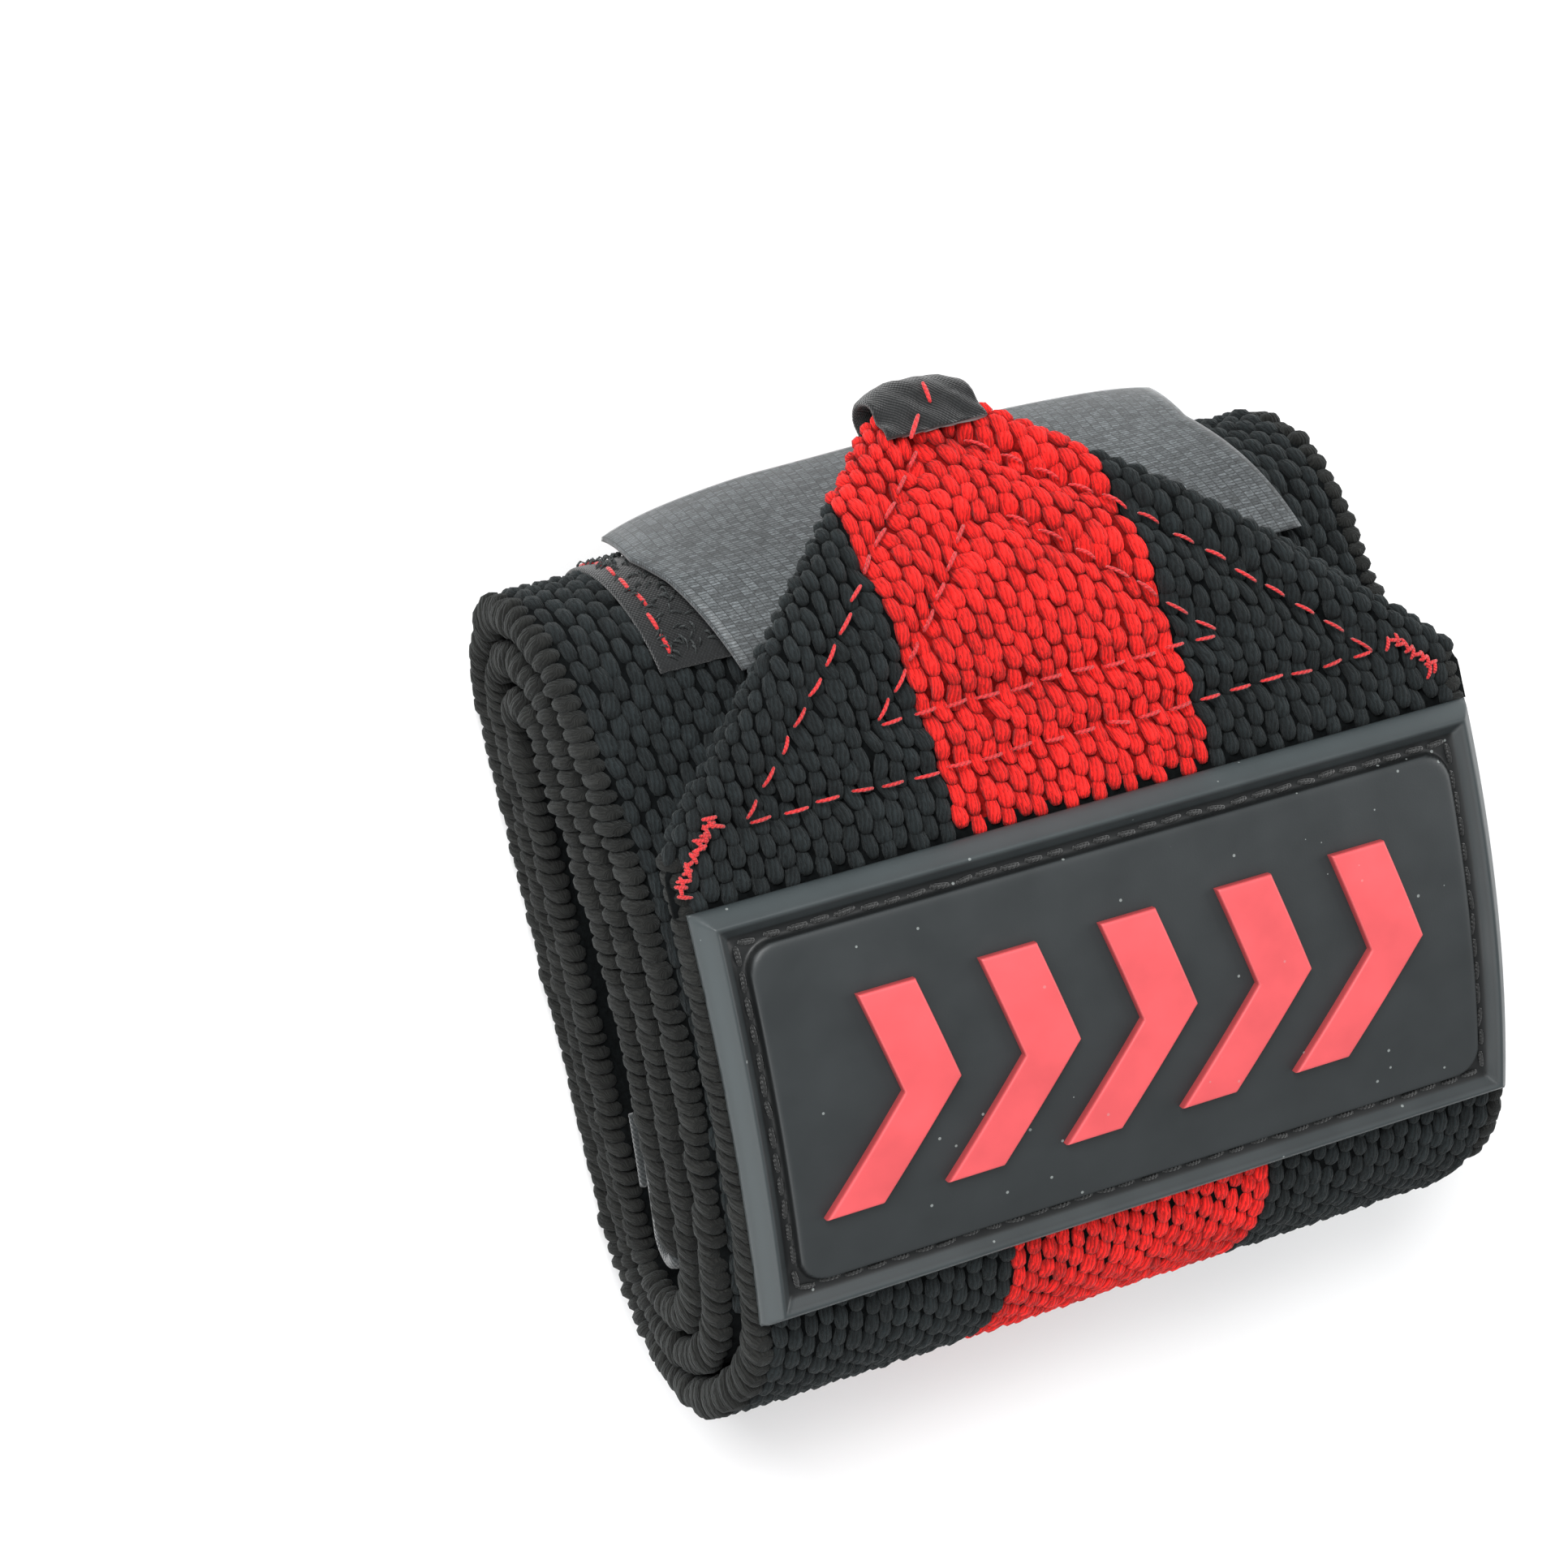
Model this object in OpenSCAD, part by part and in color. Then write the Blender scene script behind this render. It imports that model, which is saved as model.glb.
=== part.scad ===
// Elastic hand and wrist wrap, rolled flat for storage.
// The band is wound as a flattened spiral that lies on its back. Its outer turn carries a
// rubber patch on top, and ends in a point with a hook tape under it, which grips a loop
// patch on the roll. X runs across the band, Y from the low fold to the high fold, Z up.

/* [Band] */
// Width of the elastic band
band_w = 77; // [60:1:90]
// Thickness of the elastic band
band_t = 3.6; // [3:0.1:3.8]
// Distance from one wound layer to the next
layer_pitch = 4; // [4:0.1:4.6]

/* [Roll] */
// Full turns in the roll
turns = 3; // [3:1:4]
// Distance between the centres of the two folds
fold_span = 48; // [44:1:60]
// Half the height of the pocket at the low end, where the inner end lies
pocket_r = 4.6; // [4.5:0.1:5.5]
// Mid-thickness radius of the innermost high fold
high_fold_r = 3; // [1:0.1:3.4]
// Mid-thickness radius of the innermost front face
front_r = 80; // [75:5:140]
// How far the wound layers creep sideways from the front to the back, at the high end
side_creep = 5.5; // [0:0.5:6]
// The same at the low end
low_creep = 3.7; // [0:0.1:6]

/* [Rubber patch] */
// Width of the rubber patch across the band
patch_w = 75; // [60:1:76]
// Length of the rubber patch along the band
patch_l = 37.8; // [30:0.2:39]
// Height of the patch's rim
rim_h = 2.5; // [2:0.1:3]
// Width of the patch's rim
rim_w = 2.2; // [1.8:0.1:3]
// Number of raised chevrons
chevrons = 5; // [3:1:6]

/* [Pointed end] */
// Straight sides before the corners fold in
shoulder_l = 4; // [3:0.5:8]
// Length of the pointed end from the patch to the tip
point_l = 37; // [34:1:44]
// Half the width of the blunt tip
tip_half_w = 4.5; // [4:0.5:8]
// Thickness of the upper ply, pressed flat by its stitching
top_ply_t = 2; // [1.6:0.1:2.2]
// Thickness of each folded corner
corner_t = 1.7; // [1.4:0.1:1.8]

/* [Fastener] */
// Width of the hook tape
tape_w = 54; // [40:1:60]
// Thickness of the tape's woven backing
tape_t = 0.6; // [0.5:0.1:0.8]
// Thickness of the tape's hooks
hook_t = 0.4; // [0.3:0.1:0.5]
// Thickness of the loop patch
loop_t = 0.9; // [0.7:0.1:1.2]

/* [Thread] */
// Radius of the sewing thread
thread_r = 0.22; // [0.15:0.01:0.3]
// Length of one stitch and its gap
stitch_l = 3; // [2:0.25:4]

/* [Hidden] */

$fn = 48;
gap = 0.25;          // clearance between soft layers that move apart
seat = 0.04;         // clearance between pieces sewn face to face
edge_cut = 1;        // chamfer along a ribbon's edges
half_w = band_w / 2;
half_t = band_t / 2;
wound = turns * layer_pitch;

// Centres of the low fold, the high fold and the front face, as [y, z]
low_fold_r = pocket_r + half_t - layer_pitch;
low_c = [-fold_span / 2, low_fold_r + wound + half_t];
high_c = [fold_span / 2, low_c[1] - low_fold_r - layer_pitch + high_fold_r];
span_v = high_c - low_c;
to_low = front_r - low_fold_r;
to_high = front_r - high_fold_r;
along = (to_low * to_low - to_high * to_high + span_v * span_v) / (2 * norm(span_v));
across = sqrt(to_low * to_low - along * along);
front_c = low_c + (along * span_v + across * [span_v[1], -span_v[0]]) / norm(span_v);
low_a = atan2(low_c[1] - front_c[1], low_c[0] - front_c[0]);
high_a = atan2(high_c[1] - front_c[1], high_c[0] - front_c[0]);
roll_h = front_c[1] + front_r + wound + half_t;
low_edge_y = low_c[0] - low_fold_r - wound - half_t;

// Front face of the outer turn: radius of its outer surface and the patch's two ends
face_r = front_r + wound + half_t;
patch_a0 = low_a - 0.8;
patch_a1 = patch_a0 - 2 * asin(patch_l / 2 / face_r);
point_a = patch_a1 - 0.8;

// Stack over the high fold, from the roll outwards
fold_r = high_fold_r + (turns - 1) * layer_pitch + half_t;
tape_r = fold_r + seat + loop_t + gap + hook_t;
point_r = tape_r + tape_t + gap + corner_t + seat;
point_start = front_c + (face_r - top_ply_t) * [cos(point_a), sin(point_a)];
start_v = point_start - high_c;
point_a0 = atan2(start_v[1], start_v[0]) - acos(point_r / norm(start_v));
lead_l = sqrt(start_v * start_v - point_r * point_r);
point_a1 = 52;       // normal angle where the pointed end runs straight
wrap_l = point_r * (point_a0 - point_a1) * PI / 180;
tip_drift = -4;      // the tip sits a little left of the band's centre
tape_a0 = 73;        // normal angle at the tape's sewn end
tape_a1 = 38;        // normal angle where the tape runs straight
tape_fold_a = point_a1 + 3;
tape_free_l = 14;
tape_x = -4.5;       // centre of the tape and of the loop patch across the band
loop_a0 = 66;
loop_a1 = -40;

// Inner end, in the pocket: a hem turned under, a tape along it, and the thumb loop
hem_t = 1.7;
hem_l = 13;
hem_v = -(half_t + seat + hem_t / 2);
core_a = low_a - 1;
hem_a = core_a - hem_l / front_r * 180 / PI;
tape_under_t = 0.8;
tape_under_v = hem_v - hem_t / 2 - seat - tape_under_t / 2;
loop_tape_t = 0.7;
loop_tape_w = 5;
loop_v = tape_under_v - tape_under_t / 2 - 0.2;
core_x = creep(on_arc(front_c, front_r, core_a));

// The frame's origin is the centre of the bounding box, on the resting plane
tip_v = point_place(point_l + 1);
home = [side_creep / 2, -(low_edge_y + tip_v[0] + 2) / 2, 0];

// ---- functions: a place is [y, z, angle of the outward normal] ----
function on_arc(c, r, a) = [c[0] + r * cos(a), c[1] + r * sin(a), a];
function arc(c, r, a0, a1, n) = [for (i = [0:n]) on_arc(c, r, a0 + (a1 - a0) * i / n)];
function creep(p) =
    let (f = min(max((p[0] - low_c[0]) / fold_span, 0), 1))
    -(low_creep + (side_creep - low_creep) * f) * (1 - pow(min(p[1] / roll_h, 1), 3));
function skin_point(place, v) = [place[0] + v * cos(place[2]), place[1] + v * sin(place[2])];

// Turn k of the spiral: low fold, front face, then high fold; the back is the line between
function low_fold(k) = arc(low_c, low_fold_r + k * layer_pitch, -90, low_a - 360, 14);
function front_face(k) = [for (p = arc(front_c, front_r + k * layer_pitch, low_a, high_a, 8))
                          [p[0], p[1], p[2] - 360]];
function high_fold(k) = [for (p = arc(high_c, high_fold_r + k * layer_pitch, high_a, -90, 14))
                         [p[0], p[1], p[2] - 360]];
function inner(list) = [for (i = [1:len(list) - 2]) list[i]];
function after_first(list) = [for (i = [1:len(list) - 1]) list[i]];

// Place on the pointed end's mid surface at distance s from the patch
function point_place(s) =
    s < lead_l ? [point_start[0] + s * sin(point_a0), point_start[1] - s * cos(point_a0), point_a0]
    : s < lead_l + wrap_l ? on_arc(high_c, point_r, point_a0 - (s - lead_l) / point_r * 180 / PI)
    : let (e = on_arc(high_c, point_r, point_a1), r = s - lead_l - wrap_l)
      [e[0] + r * sin(point_a1), e[1] - r * cos(point_a1), point_a1];
function point_half(s) =
    s < shoulder_l ? half_w
    : half_w - (half_w - tip_half_w) * (s - shoulder_l) / (point_l - shoulder_l);
function point_mid(s) = tip_drift * max(s - shoulder_l, 0) / (point_l - shoulder_l);
function on_point(x, s, v) = let (q = skin_point(point_place(s), v)) [x + point_mid(s), q[0], q[1]];
function on_face(x, a, v) = let (q = skin_point(on_arc(front_c, face_r, a), v)) [x, q[0], q[1]];
function on_fold(x, a, v) = let (p = on_arc(high_c, fold_r, a), q = skin_point(p, v))
    [x + creep(p), q[0], q[1]];

// Section of a ribbon at a place: eight corners, x from span[0] to span[1], v from skin[0] to skin[1]
function ring(place, span, skin) =
    let (c = min(edge_cut, 0.3 * (skin[1] - skin[0]), 0.3 * (span[1] - span[0])),
         corners = [[span[0] + c, skin[0]], [span[1] - c, skin[0]],
                    [span[1], skin[0] + c], [span[1], skin[1] - c],
                    [span[1] - c, skin[1]], [span[0] + c, skin[1]],
                    [span[0], skin[1] - c], [span[0], skin[0] + c]])
    [for (q = corners) let (p = skin_point(place, q[1])) [q[0], p[0], p[1]]];
function band_ring(place) = let (x = creep(place)) ring(place, [x - half_w, x + half_w], [-half_t, half_t]);

// ---- builders ----
module placed() { translate(home) children(); }

// Closed strip through a list of rings that run clockwise, seen from +X
module ribbon(rings) {
    m = len(rings[0]);
    n = len(rings);
    sides = [for (i = [0:n - 2], j = [0:m - 1])
             let (a = i * m + j, b = i * m + (j + 1) % m) each [[a, b, b + m], [a, b + m, a + m]]];
    caps = [[for (j = [m - 1:-1:0]) j], [for (j = [0:m - 1]) (n - 1) * m + j]];
    polyhedron([for (r = rings) each r], concat(caps, sides));
}

// Piece of a shell about the front face's centre line, between two radii and two angles
module shell(r0, r1, a0, a1, w) {
    translate([0, front_c[0], front_c[1]]) rotate(120, [1, 1, 1]) rotate([0, 0, a1])
        rotate_extrude(angle = a0 - a1, $fn = 180) translate([r0, -w / 2]) square([r1 - r0, w]);
}

module rod(a, b, r = thread_r) {
    d = b - a;
    translate(a) rotate([0, acos(d[2] / norm(d)), atan2(d[1], d[0])]) cylinder(h = norm(d), r = r, $fn = 16);
}

// Row of stitches between two points [x, s] on top of the pointed end
module point_row(from, to) {
    count = max(round(norm(to - from) / stitch_l), 1);
    for (i = [0:count - 1]) {
        a = from + (to - from) * (i + 0.12) / count;
        b = from + (to - from) * (i + 0.88) / count;
        rod(on_point(a[0], a[1], top_ply_t + thread_r + 0.12), on_point(b[0], b[1], top_ply_t + thread_r + 0.12));
    }
}

// Zigzag tack between two points [x, s] on top of the pointed end
module point_tack(from, to, width, count) {
    side = [to[1] - from[1], from[0] - to[0]] / norm(to - from) * width / 2;
    for (i = [0:count - 1]) {
        p = from + (to - from) * i / (count - 1);
        a = p - side;
        b = p + side;
        rod(on_point(a[0], a[1], top_ply_t + thread_r + 0.1), on_point(b[0], b[1], top_ply_t + thread_r + 0.1));
    }
}

// ---- the roll ----
module band_roll() {
    core = [for (p = arc(front_c, front_r, core_a, high_a + 1, 8)) [p[0], p[1], p[2] - 360]];
    wraps = [for (k = [1:turns - 1]) each concat(low_fold(k), inner(front_face(k)), high_fold(k))];
    color([0.1, 0.11, 0.115]) placed()
        ribbon([for (p = concat(core, high_fold(0), wraps, low_fold(turns))) band_ring(p)]);
}

// Hem: a thinner ply that lies under the core and turns up round its end
module core_hem() {
    bend_v = (hem_v + half_t - hem_t / 2) / 2;
    bend_r = bend_v - hem_v;
    ply = [for (p = arc(front_c, front_r + hem_v, hem_a, core_a, 5)) [p[0], p[1], p[2] - 180]];
    end = on_arc(front_c, front_r + bend_v, core_a + 0.03);
    bend = arc([end[0], end[1]], bend_r, core_a + 180, core_a, 10);
    color([0.12, 0.12, 0.125]) placed()
        ribbon([for (p = concat(ply, after_first(bend)))
                ring(p, [core_x - half_w + 0.6, core_x + half_w - 0.6], [-hem_t / 2, hem_t / 2])]);
}

// Two rows of stitches through the hem, on the core's upper side
module hem_stitching() {
    count = round((band_w - 6) / stitch_l);
    r = 0.14;
    color([0.7, 0.06, 0.08]) placed()
        for (a = [hem_a + 1.5, hem_a + 3.5], i = [0:count - 1]) {
            x = core_x - half_w + 3 + i * stitch_l;
            p = skin_point(on_arc(front_c, front_r, a), half_t + r + 0.02);
            rod([x, p[0], p[1]], [x + 0.7 * stitch_l, p[0], p[1]], r);
        }
}

// Smooth woven tape sewn along the hem, from edge to edge
module hem_tape() {
    places = arc(front_c, front_r + tape_under_v, hem_a + 5, hem_a + 0.5, 3);
    color([0.16, 0.17, 0.17]) placed()
        ribbon([for (p = places) ring(p, [core_x - half_w + 0.2, core_x + half_w - 0.2],
                                      [-tape_under_t / 2, tape_under_t / 2])]);
}

// Flat elastic loop for the thumb, folded into the pocket under the hem
module thumb_loop() {
    outer_r = 15;
    deep = 9;
    mid_a = hem_a + 3;
    p = skin_point(on_arc(front_c, front_r, mid_a), loop_v - loop_tape_t);
    color([0.08, 0.08, 0.085]) placed() translate([core_x, p[0], p[1]]) rotate([mid_a - 90, 0, 0])
        linear_extrude(loop_tape_t) difference() {
            union() {
                intersection() {
                    circle(outer_r);
                    translate([-outer_r, -deep]) square([2 * outer_r, deep]);
                }
                translate([-outer_r, 0]) square([2 * outer_r, 3]);
            }
            intersection() {
                circle(outer_r - loop_tape_w);
                translate([-outer_r, loop_tape_w - deep]) square([2 * outer_r, deep]);
            }
            translate([loop_tape_w - outer_r, 0]) square([2 * (outer_r - loop_tape_w), 4]);
        }
}

module thumb_loop_tacks() {
    r = 0.12;
    v = loop_v - loop_tape_t - r - 0.12;
    color([0.7, 0.06, 0.08]) placed()
        for (side = [-1, 1], i = [0:4]) {
            x = core_x + side * 12.5 - 1.6 + 0.8 * i;
            a = skin_point(on_arc(front_c, front_r, hem_a + 1.4), v);
            b = skin_point(on_arc(front_c, front_r, hem_a + 2.8), v);
            rod([x, a[0], a[1]], [x, b[0], b[1]], r);
        }
}

// Soft loop pile sewn round the high fold, where the hook tape grips
module loop_patch() {
    places = arc(high_c, fold_r, loop_a0, loop_a1, 14);
    color([0.07, 0.07, 0.075]) placed()
        ribbon([for (p = places) let (x = creep(p) + tape_x)
                ring(p, [x - tape_w / 2, x + tape_w / 2], [seat, seat + loop_t])]);
}

module loop_patch_stitching() {
    rows = floor((loop_a0 - loop_a1 - 10) / 12);
    ends = floor((tape_w - 6) / stitch_l);
    lift = seat + loop_t + 0.12;
    color([0.78, 0.07, 0.09]) placed() {
        for (side = [-1, 1], i = [0:rows - 1]) {
            a = loop_a0 - 4 - i * 12;
            x = tape_x + side * (tape_w / 2 - 1.4);
            rod(on_fold(x, a, lift), on_fold(x, a - 8, lift), 0.1);
        }
        for (i = [0:ends - 1]) {
            x = tape_x - tape_w / 2 + 3 + i * stitch_l;
            rod(on_fold(x, loop_a1 + 6, lift + 0.05), on_fold(x + 0.7 * stitch_l, loop_a1 + 6, lift + 0.05), 0.1);
        }
    }
}

// ---- the outer turn's front ----
module band_front() {
    a0 = low_a - 0.15;
    places = arc(front_c, face_r - half_t, a0, point_a + 0.15, 10);
    color([0.1, 0.11, 0.115]) placed()
        ribbon([for (p = places) ring(p, [-half_w, half_w], [-half_t, half_t])]);
}

module patch_base() {
    r0 = face_r + seat;
    rim_a = rim_w / face_r * 180 / PI;
    groove_w = 1.5;
    groove_a = groove_w / face_r * 180 / PI;
    panel_r = 2.5;
    panel_w = patch_w - 2 * (rim_w + groove_w);
    panel_l = patch_l - 2 * (rim_w + groove_w);
    mid = on_face(0, (patch_a0 + patch_a1) / 2, 0);
    lean = (patch_a0 + patch_a1) / 2 - 90;
    color([0.2, 0.21, 0.215]) placed() {
        shell(r0, r0 + 1.2, patch_a0, patch_a1, patch_w);
        difference() {
            shell(r0 + 0.6, r0 + rim_h, patch_a0, patch_a1, patch_w);
            shell(r0, r0 + rim_h + 1, patch_a0 - rim_a, patch_a1 + rim_a, patch_w - 2 * rim_w);
        }
        intersection() {
            shell(r0 + 0.6, r0 + rim_h - 0.3, patch_a0, patch_a1, patch_w);
            translate(mid) rotate([lean, 0, 0]) translate([0, 0, -6]) linear_extrude(14)
                union() {
                    square([panel_w - 2 * panel_r, panel_l], center = true);
                    square([panel_w, panel_l - 2 * panel_r], center = true);
                    for (i = [-1, 1], j = [-1, 1])
                        translate([i * (panel_w / 2 - panel_r), j * (panel_l / 2 - panel_r)]) circle(panel_r);
                }
        }
    }
}

// Slanted chevrons that stand on the patch's panel
module patch_chevrons() {
    arm = 9.2;
    stroke = 5.4;
    reach = 5.6;
    pitch_x = 11.4;
    slant = 3;
    r0 = face_r + seat + rim_h - 0.3 + 0.02;
    mid = on_face(0, (patch_a0 + patch_a1) / 2, 0);
    lean = (patch_a0 + patch_a1) / 2 - 90;
    color([0.87, 0.27, 0.29]) placed() intersection() {
        shell(r0, r0 + 0.8, patch_a0, patch_a1, patch_w);
        translate(mid) rotate([lean, 0, 0]) translate([0, 0, -6]) linear_extrude(14)
            for (i = [0:chevrons - 1])
                translate([(i - (chevrons - 1) / 2) * pitch_x - (stroke + reach) / 2, 0])
                    polygon([[-slant, -arm], [stroke - slant, -arm], [stroke + reach, 0],
                             [stroke + slant, arm], [slant, arm], [reach, 0]]);
    }
}

// Black lockstitch in the groove round the panel
module patch_stitching() {
    x = patch_w / 2 - rim_w - 0.75;
    inset_a = (rim_w + 0.75) / face_r * 180 / PI;
    v = seat + 1.2 + thread_r + 0.03;
    cols = floor(2 * x / stitch_l);
    step_a = (patch_a0 - patch_a1 - 2 * inset_a) / 11;
    color([0.04, 0.04, 0.045]) placed() {
        for (a = [patch_a0 - inset_a, patch_a1 + inset_a], i = [0:cols - 1]) {
            x0 = -cols * stitch_l / 2 + (i + 0.15) * stitch_l;
            rod(on_face(x0, a, v), on_face(x0 + 0.7 * stitch_l, a, v));
        }
        for (side = [-1, 1], i = [0:10]) {
            a = patch_a0 - inset_a - (i + 0.2) * step_a;
            rod(on_face(side * x, a, v), on_face(side * x, a - 0.6 * step_a, v));
        }
    }
}

// ---- the pointed end ----
module pointed_end() {
    stops = concat([0.15, shoulder_l, lead_l], [for (i = [1:6]) lead_l + wrap_l * i / 6], [point_l]);
    color([0.72, 0.09, 0.1]) placed()
        ribbon([for (s = stops) ring(point_place(s), [point_mid(s) - point_half(s), point_mid(s) + point_half(s)],
                                     [0, top_ply_t])]);
}

// Corner turned under along the slanted edge; side is -1 on the left and 1 on the right
module folded_corner(side) {
    last = point_l - 2.5;
    near = 1;
    stops = concat([shoulder_l + 0.3, lead_l], [for (i = [1:6]) lead_l + wrap_l * i / 6], [last]);
    ribbon([for (s = stops)
            let (m = point_mid(s), h = point_half(s) - 0.2,
                 span = side < 0 ? [m - h, m - near] : [m + near, m + h])
            ring(point_place(s), span, [-corner_t - seat, -seat])]);
}

module left_folded_corner() { color([0.13, 0.13, 0.135]) placed() folded_corner(-1); }
module right_folded_corner() { color([0.13, 0.13, 0.135]) placed() folded_corner(1); }

// Black binding folded over the blunt tip
module tip_binding() {
    lap = 4.5;
    wall = 0.6;
    mid_v = (top_ply_t - corner_t) / 2;
    bend_r = (top_ply_t + corner_t) / 2 + seat + wall / 2 + 0.05;
    end = point_place(point_l + 0.2);
    c = skin_point(end, mid_v);
    back = lap * [sin(point_a1), -cos(point_a1)];
    loop = concat([[c[0] - back[0] + bend_r * cos(point_a1), c[1] - back[1] + bend_r * sin(point_a1), point_a1]],
                  arc(c, bend_r, point_a1, point_a1 - 180, 10),
                  [[c[0] - back[0] - bend_r * cos(point_a1), c[1] - back[1] - bend_r * sin(point_a1),
                    point_a1 - 180]]);
    color([0.06, 0.06, 0.065]) placed()
        ribbon([for (p = loop) ring(p, [tip_drift - tip_half_w - 0.8, tip_drift + tip_half_w + 0.8],
                                    [-wall / 2, wall / 2])]);
}

// Rows of red thread: two inset from the slanted sides, and one across, above the shoulder
module triangle_rows(inset, stop_short, above) {
    low_s = shoulder_l + above;
    slope = (half_w - tip_half_w) / (point_l - shoulder_l);
    side_in = inset * sqrt(1 + slope * slope);
    top_s = point_l - stop_short;
    low_x = point_half(low_s) - side_in;
    top_x = max(point_half(top_s) - side_in, 0.6);
    color([0.8, 0.07, 0.09]) placed() {
        point_row([-low_x + 1, low_s], [low_x - 1, low_s]);
        point_row([-low_x, low_s + 1], [-top_x, top_s]);
        point_row([low_x, low_s + 1], [top_x, top_s]);
    }
}

module outer_stitch_rows() { triangle_rows(5, 9, 0.8); }
module inner_stitch_rows() { triangle_rows(11, 16, 6); }

module left_bar_tack() {
    color([0.8, 0.07, 0.09]) placed() point_tack([-half_w + 1.6, 1.2], [-half_w + 4.4, shoulder_l + 1.6], 1.6, 8);
}

module right_bar_tack() {
    color([0.8, 0.07, 0.09]) placed() point_tack([half_w - 4.4, shoulder_l + 1.2], [half_w - 1.2, 1.6], 1.6, 8);
}

// ---- the hook tape ----
module hook_tape_sewn_end() {
    places = arc(high_c, tape_r, tape_a0, tape_fold_a, 5);
    color([0.36, 0.38, 0.39]) placed()
        ribbon([for (p = places) ring(p, [tape_x - tape_w / 2, tape_x + tape_w / 2], [0, tape_t])]);
}

module hook_tape_stitching() {
    count = floor((tape_w - 6) / stitch_l);
    color([0.8, 0.07, 0.09]) placed()
        for (a = [tape_a0 - 3, tape_fold_a + 3], i = [0:count - 1]) {
            x = tape_x - count * stitch_l / 2 + i * stitch_l;
            p = skin_point(on_arc(high_c, tape_r, a), -0.14);
            rod([x, p[0], p[1]], [x + 0.7 * stitch_l, p[0], p[1]], 0.12);
        }
}

// Places along the free tape: round the fold, then straight
function free_tape() = let (e = on_arc(high_c, tape_r, tape_a1))
    concat(arc(high_c, tape_r, tape_fold_a - 1, tape_a1, 5),
           [[e[0] + tape_free_l * sin(tape_a1), e[1] - tape_free_l * cos(tape_a1), tape_a1]]);

module hook_tape_free_end() {
    color([0.36, 0.38, 0.39]) placed()
        ribbon([for (p = free_tape()) ring(p, [tape_x - tape_w / 2, tape_x + tape_w / 2], [0, tape_t])]);
}

// Moulded hooks on the tape's inner side, as one thin layer
module hook_field() {
    margin = 1.2;
    places = free_tape();
    last = places[len(places) - 1];
    short = [last[0] - margin * sin(last[2]), last[1] + margin * cos(last[2]), last[2]];
    color([0.03, 0.03, 0.03]) placed()
        ribbon([for (p = concat([for (i = [0:len(places) - 2]) places[i]], [short]))
                ring(p, [tape_x - tape_w / 2 + margin, tape_x + tape_w / 2 - margin], [-hook_t, -seat])]);
}

band_roll();
core_hem();
hem_stitching();
hem_tape();
thumb_loop();
thumb_loop_tacks();
loop_patch();
loop_patch_stitching();
band_front();
patch_base();
patch_chevrons();
patch_stitching();
pointed_end();
left_folded_corner();
right_folded_corner();
tip_binding();
outer_stitch_rows();
inner_stitch_rows();
left_bar_tack();
right_bar_tack();
hook_tape_sewn_end();
hook_tape_stitching();
hook_tape_free_end();
hook_field();
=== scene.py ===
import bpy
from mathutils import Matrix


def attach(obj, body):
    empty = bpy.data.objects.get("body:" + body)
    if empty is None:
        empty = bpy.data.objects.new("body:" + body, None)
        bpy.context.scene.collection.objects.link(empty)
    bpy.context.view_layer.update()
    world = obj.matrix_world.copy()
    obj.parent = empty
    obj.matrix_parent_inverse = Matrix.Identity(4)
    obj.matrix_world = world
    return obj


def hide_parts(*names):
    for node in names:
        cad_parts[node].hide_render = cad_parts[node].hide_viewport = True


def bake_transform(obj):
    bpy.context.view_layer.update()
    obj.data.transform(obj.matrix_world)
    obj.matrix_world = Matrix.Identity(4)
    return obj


bl_info = {
    "name": "Rolled hand wrap",
    "version": (1, 0, 0),
    "blender": (4, 5, 0),
    "location": "View3D > Sidebar > Hand Wrap",
    "description": "Builds an elastic hand wrap, rolled for storage, with its rubber patch and pointed end",
    "category": "Add Mesh",
}

import bmesh
import bpy
import numpy as np
from mathutils import Matrix, Vector

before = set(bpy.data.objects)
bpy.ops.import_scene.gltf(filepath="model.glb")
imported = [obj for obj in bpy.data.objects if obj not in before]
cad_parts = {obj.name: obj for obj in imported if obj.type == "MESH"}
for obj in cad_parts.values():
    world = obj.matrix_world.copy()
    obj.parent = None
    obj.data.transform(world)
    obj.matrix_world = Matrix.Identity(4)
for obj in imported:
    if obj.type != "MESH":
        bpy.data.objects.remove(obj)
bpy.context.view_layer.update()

MM = 0.001
TURN = 2 * np.pi
QUARTER = np.pi / 2

# Fixed measures, in millimetres.
SEAT = 0.04  # between pieces that are sewn together
CLEAR = 0.25  # between soft layers that move apart
TOP_PLY, CORNER_PLY = 2.0, 1.7
TAPE_T, HOOK_T, LOOP_T = 0.6, 0.4, 0.9
TAPE_FREE, TAPE_X = 14, -4.5
TIP_DRIFT = -4.0
HEM_L, HEM_T, HEM_TAPE_T = 13, 1.7, 0.8
FRONT_LEAD = 11.0  # the front's own cloth starts this far before its hinge
GROUND_HALF = 37.2  # half the width of the cloth under the knit loops
GROUND_SKIN = (-1.35, 1.35)
STRIPE, POINT_STRIPE = (-12.4, 13.2), (-12.0, 12.0)
GROOVE, PANEL = 1.22, 0.97  # height of the patch's sewing groove, and of its panel over that
WOBBLE = 0.12

# The camera, in millimetres from the middle of the patch: x across, y up the patch, z out of it.
EYE = (-109.712, 107.802, 245.408)
CAMERA_AXES = ((0.92018, -0.15872, 0.35787), (-0.24883, -0.94285, 0.22164), (0.30224, -0.29299, -0.90709))
LENS = 75.47
LAMPS = (("key", (-0.25, 0.55, 0.6), 0.45, 9.0), ("side", (0.75, 0.05, 0.35), 0.5, 3.5),
         ("fill", (-0.6, -0.3, 0.35), 0.6, 3.0))


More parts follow.
